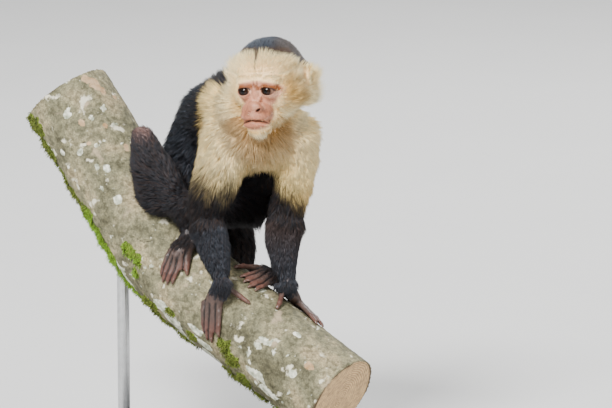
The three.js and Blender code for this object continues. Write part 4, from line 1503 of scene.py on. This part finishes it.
broad, _ = noise_ramp(
    bark, 30, ((0.34, (0.105, 0.098, 0.058)), (0.68, (0.33, 0.275, 0.165)),
               (0.46, (0.185, 0.175, 0.108)), (0.56, (0.26, 0.235, 0.145))), 6.0)
grain, grain_height = noise_ramp(
    bark, 210, ((0.36, (0.48, 0.47, 0.42)), (0.64, (1.30, 1.27, 1.18)), (0.50, (0.93, 0.92, 0.90))), 8.0)
dots, dots_height = noise_ramp(
    bark, 620, ((0.36, (0.50, 0.48, 0.42)), (0.60, (1.0, 1.0, 1.0)), (0.70, (1.5, 1.48, 1.4))), 2.0)
colour = blend(bark, broad, grain, 0.85, "MULTIPLY")
colour = blend(bark, colour, dots, 0.55, "MULTIPLY")
_, tan_height = noise_ramp(bark, 46, ((0.58, (0, 0, 0)), (0.66, (1, 1, 1))), 5.0)
colour = blend(bark, colour, (0.38, 0.30, 0.195, 1), clipped(bark, tan_height, 0.62, 0.72))
pale_cloud, pale_height = noise_ramp(bark, 71, ((0.4, (0.52, 0.54, 0.40)), (0.6, (0.64, 0.60, 0.46))), 5.0)
colour = blend(bark, colour, pale_cloud, clipped(bark, pale_height, 0.62, 0.70))
masks = add_node(bark, "ShaderNodeSeparateColor")
links.new(painted_tone(bark, "growth"), masks.inputs["Color"])
moss_tone, _ = noise_ramp(
    bark, 130, ((0.32, (0.035, 0.045, 0.008)), (0.68, (0.22, 0.30, 0.03)), (0.50, (0.11, 0.15, 0.018))))
lichen_tone, _ = noise_ramp(
    bark, 170, ((0.34, (0.24, 0.26, 0.18)), (0.64, (0.80, 0.79, 0.66)), (0.50, (0.47, 0.48, 0.37))))
rust_tone, _ = noise_ramp(bark, 120, ((0.34, (0.30, 0.18, 0.08)), (0.66, (0.50, 0.35, 0.21))))
for mask, tone_out in (("Blue", rust_tone), ("Green", lichen_tone), ("Red", moss_tone)):
    ragged = add_node(bark, "ShaderNodeMath", operation="ADD")
    links.new(masks.outputs[mask], ragged.inputs[0])
    links.new(grain_height, ragged.inputs[1])
    colour = blend(bark, colour, tone_out, clipped(bark, ragged.outputs["Value"], 0.86, 1.26))
sawn = add_node(bark, "ShaderNodeSeparateColor")
links.new(painted_tone(bark, "sawn"), sawn.inputs["Color"])
# painted shade fills the sunken cracks, near black
colour = blend(bark, colour, (0.02, 0.015, 0.01, 1), clipped(bark, sawn.outputs["Blue"], 0.25, 0.8))
rings = add_node(bark, "ShaderNodeMath", operation="MULTIPLY")
rings.inputs[1].default_value = 150.0
links.new(sawn.outputs["Green"], rings.inputs[0])
ring_wave = add_node(bark, "ShaderNodeMath", operation="SINE")
links.new(rings.outputs["Value"], ring_wave.inputs[0])
late_wood = clipped(bark, ring_wave.outputs["Value"], 0.1, 1.0)
wood = blend(bark, (0.58, 0.40, 0.215, 1), (0.33, 0.19, 0.085, 1), late_wood)
wood = blend(bark, wood, grain, 0.5, "MULTIPLY")
wood = blend(bark, wood, (0.10, 0.065, 0.035, 1), clipped(bark, sawn.outputs["Green"], 0.735, 0.755))
colour = blend(bark, colour, wood, sawn.outputs["Red"])
links.new(colour, shader.inputs["Base Color"])
rough_by(bark, shader, grain_height, 0.72, 0.92)
bumps = add_node(bark, "ShaderNodeMath", operation="MULTIPLY_ADD")
bumps.inputs[1].default_value = 0.4
links.new(dots_height, bumps.inputs[0])
links.new(grain_height, bumps.inputs[2])
add_bump(bark, shader, bumps.outputs["Value"], 0.55, 0.0022)
branch.data.materials.append(bark)
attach(branch, "root")
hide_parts("perch_branch")


# ---------------------------------------------------------------------------- moss
# Cushions of short green moss shoots along the lower edge of the branch, glued down in
# small clumps where the moss grows.

MOSS_SHOOTS = 11000
rng = np.random.default_rng(71)
odds = np.clip(growth[:, MOSS] - 0.35, 0, 1) * on_side
root_at = rng.choice(len(places), MOSS_SHOOTS, p=odds / odds.sum())
root = places[root_at] + rng.normal(0, 0.6, (MOSS_SHOOTS, 3)) * MM
root -= outward[root_at] * 0.5 * MM
clump = 0.5 + 0.5 * np.clip(medium[root_at] * 1.6, -1, 1)
long = (1.8 + 5.2 * clump * growth[root_at, MOSS]) * rng.uniform(0.6, 1.15, MOSS_SHOOTS)
lean = rng.normal(0, 0.45, (MOSS_SHOOTS, 3)) + 0.35 * np.c_[coarse, medium, fine][root_at]
way = outward[root_at] + lean
way = unit(way)
middle = root + way * (long * 0.55 * MM)[:, None]
tip = middle + (way + np.array((0, 0, -0.5))) * (long * 0.40 * MM)[:, None]
bright = np.clip(ease(110, 140, along[root_at]) * (1 - ease(215, 235, along[root_at]))
                 + 0.35 * rng.random(MOSS_SHOOTS), 0, 1)
moss_root = np.tile((0.035, 0.045, 0.010), (MOSS_SHOOTS, 1))
moss_tip = mix(np.array((0.15, 0.155, 0.030)), np.array((0.23, 0.42, 0.025)), bright)
moss_tip = moss_tip * rng.uniform(0.7, 1.25, MOSS_SHOOTS)[:, None]
flat = np.c_[along[root_at] / 520 + 0.02, (round_by[root_at] + 180) / 380 + 0.02]
moss = spikes("moss", (root, middle, tip), outward[root_at],
              rng.uniform(0.35, 0.6, MOSS_SHOOTS) * MM, flat, (moss_root, moss_tip))
moss_green, shader = new_material("moss_green", Specular_IOR_Level=0.3)
height = mottled(moss_green, shader, painted_tone(moss_green), 300.0, 0.7, 1.3)
rough_by(moss_green, shader, height, 0.6, 0.85)
moss.data.materials.append(moss_green)
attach(moss, "root")


# ---------------------------------------------------------------------------- stand
# A round turned wooden base, painted satin charcoal, and two drawn steel rods. Each rod is
# screwed into the base through a turned collar and runs up into the branch.

BASE_PROFILE = [(0, 1.4), (152, 1.4), (154, 0), (161, 0), (164, 1.6), (165, 4.4), (165, 12.6),
                (164.2, 15.8), (162.2, 18.2), (159.4, 19.5), (156, 20), (0, 20)]
ROD_PROFILE = [(0, 17), (6.6, 17), (6.6, 1000), (0, 1000)]
COLLAR_PROFILE = [(6.4, 19.6), (13.6, 19.6), (14.2, 20.2), (14.2, 22.6), (13.4, 23.6), (10.2, 24.4),
                  (9.2, 25.4), (8.8, 29.0), (8.2, 30.0), (6.4, 30.2)]


def turned(form, profile, centre, steps):
    """Adds a profile of (radius, height) in mm, spun round an upright axis."""
    verts = [form.verts.new(Vector((centre[0] + r, centre[1], z)) * MM) for r, z in profile]
    lines = [form.edges.new(pair) for pair in zip(verts, verts[1:])]
    bmesh.ops.spin(form, geom=[*verts, *lines], cent=Vector((*centre, 0)) * MM, axis=(0, 0, 1),
                   angle=math.tau, steps=steps, use_merge=True)
    bmesh.ops.remove_doubles(form, verts=form.verts, dist=0.002 * MM)
    bmesh.ops.recalc_face_normals(form, faces=form.faces)


base_form = bmesh.new()
turned(base_form, BASE_PROFILE, (0, 0), 128)
base = as_object(base_form, "stand_board")
base.data.shade_smooth()
base.data.set_sharp_from_angle(angle=math.radians(40))

# streaks: a noise drawn out along an axis, as in brushed wood and drawn steel
streaks, group_in, group_out = node_group(
    "streaks",
    (("Scale", "NodeSocketVector", (1, 1, 1)), ("Detail", "NodeSocketFloat", 2.0)),
    (("Height", "NodeSocketFloat"),),
)
spot_in = streaks.nodes.new("ShaderNodeTexCoord")
lengthways = streaks.nodes.new("ShaderNodeMapping")
lines = streaks.nodes.new("ShaderNodeTexNoise")
lines.inputs["Scale"].default_value = 1.0
for out, into in (
    (spot_in.outputs["Object"], lengthways.inputs["Vector"]),
    (group_in.outputs["Scale"], lengthways.inputs["Scale"]),
    (lengthways.outputs["Vector"], lines.inputs["Vector"]),
    (group_in.outputs["Detail"], lines.inputs["Detail"]),
    (lines.outputs["Fac"], group_out.inputs["Height"]),
):
    streaks.links.new(out, into)

paint_coat, shader = new_material("charcoal_paint", Specular_IOR_Level=0.5)
height = mottled(paint_coat, shader, (0.030, 0.031, 0.034, 1), 60.0, 0.85, 1.2)
rough_by(paint_coat, shader, height, 0.34, 0.50)
wood_lines = place_group(paint_coat, streaks, Scale=(14.0, 260.0, 60.0), Detail=5.0)
add_bump(paint_coat, shader, wood_lines.outputs["Height"], 0.25, 0.0006)
base.data.materials.append(paint_coat)
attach(base, "root")
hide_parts("stand_base")

steel, shader = new_material("drawn_steel", Metallic=1.0)
mottled(steel, shader, (0.56, 0.565, 0.57, 1), 140.0, 0.9, 1.06)
drawn = place_group(steel, streaks, Scale=(1500.0, 1500.0, 14.0), Detail=2.0)
rough_by(steel, shader, drawn.outputs["Height"], 0.22, 0.40)
add_bump(steel, shader, drawn.outputs["Height"], 0.12, 0.0002)
for name in ("stand_rod_lower", "stand_rod_upper"):
    low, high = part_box(name)
    centre = ((low.x + high.x) / 2 / MM, (low.y + high.y) / 2 / MM)
    top = high.z / MM + 6.0
    rod_form = bmesh.new()
    turned(rod_form, [(r, min(z, top)) for r, z in ROD_PROFILE], centre, 40)
    turned(rod_form, COLLAR_PROFILE, centre, 40)
    rod = as_object(rod_form, name.replace("stand_rod", "stand_post"))
    rod.data.shade_smooth()
    rod.data.set_sharp_from_angle(angle=math.radians(40))
    rod.data.materials.append(steel)
    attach(rod, "root")
    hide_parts(name)


# ---------------------------------------------------------------------------- floor and light
# A plain pale studio floor under a soft pale sky, a large key light from the animal's
# right, a weak fill from its left and a light from behind for the edges of the coat.

FLOOR_HALF = 6
LIT_SPOT = Vector((0.03, -0.03, 0.32))       # what all the lamps point at
LAMPS = (                            # place, power in watts, side of the square lamp in metres
    ("key", (-1.3, -2.5, 2.9), 325, 1.1), ("fill", (2.2, -2.2, 1.6), 32, 2.0),
    ("rim", (1.0, 2.2, 2.4), 105, 1.4),
)

floor_form = bmesh.new()
bmesh.ops.create_grid(floor_form, x_segments=1, y_segments=1, size=FLOOR_HALF)
floor = as_object(floor_form, "floor")
floor_paint, shader = new_material("floor_paint")
height = mottled(floor_paint, shader, (0.67, 0.67, 0.66, 1), 4.0, 0.985, 1.01)
rough_by(floor_paint, shader, height, 0.78, 0.86)
floor.data.materials.append(floor_paint)

world = bpy.data.worlds.new("studio")
world.use_nodes = True
world.node_tree.nodes["Background"].inputs["Color"].default_value = (0.97, 0.98, 1.0, 1)
world.node_tree.nodes["Background"].inputs["Strength"].default_value = 0.55
bpy.context.scene.world = world

for name, place, power, size in LAMPS:
    data = bpy.data.lights.new(name, "AREA")
    data.energy = power
    data.size = size
    lamp = bpy.data.objects.new(name, data)
    lamp.location = place
    aim = LIT_SPOT - Vector(place)
    lamp.rotation_euler = aim.to_track_quat("-Z", "Y").to_euler()
    bpy.context.collection.objects.link(lamp)
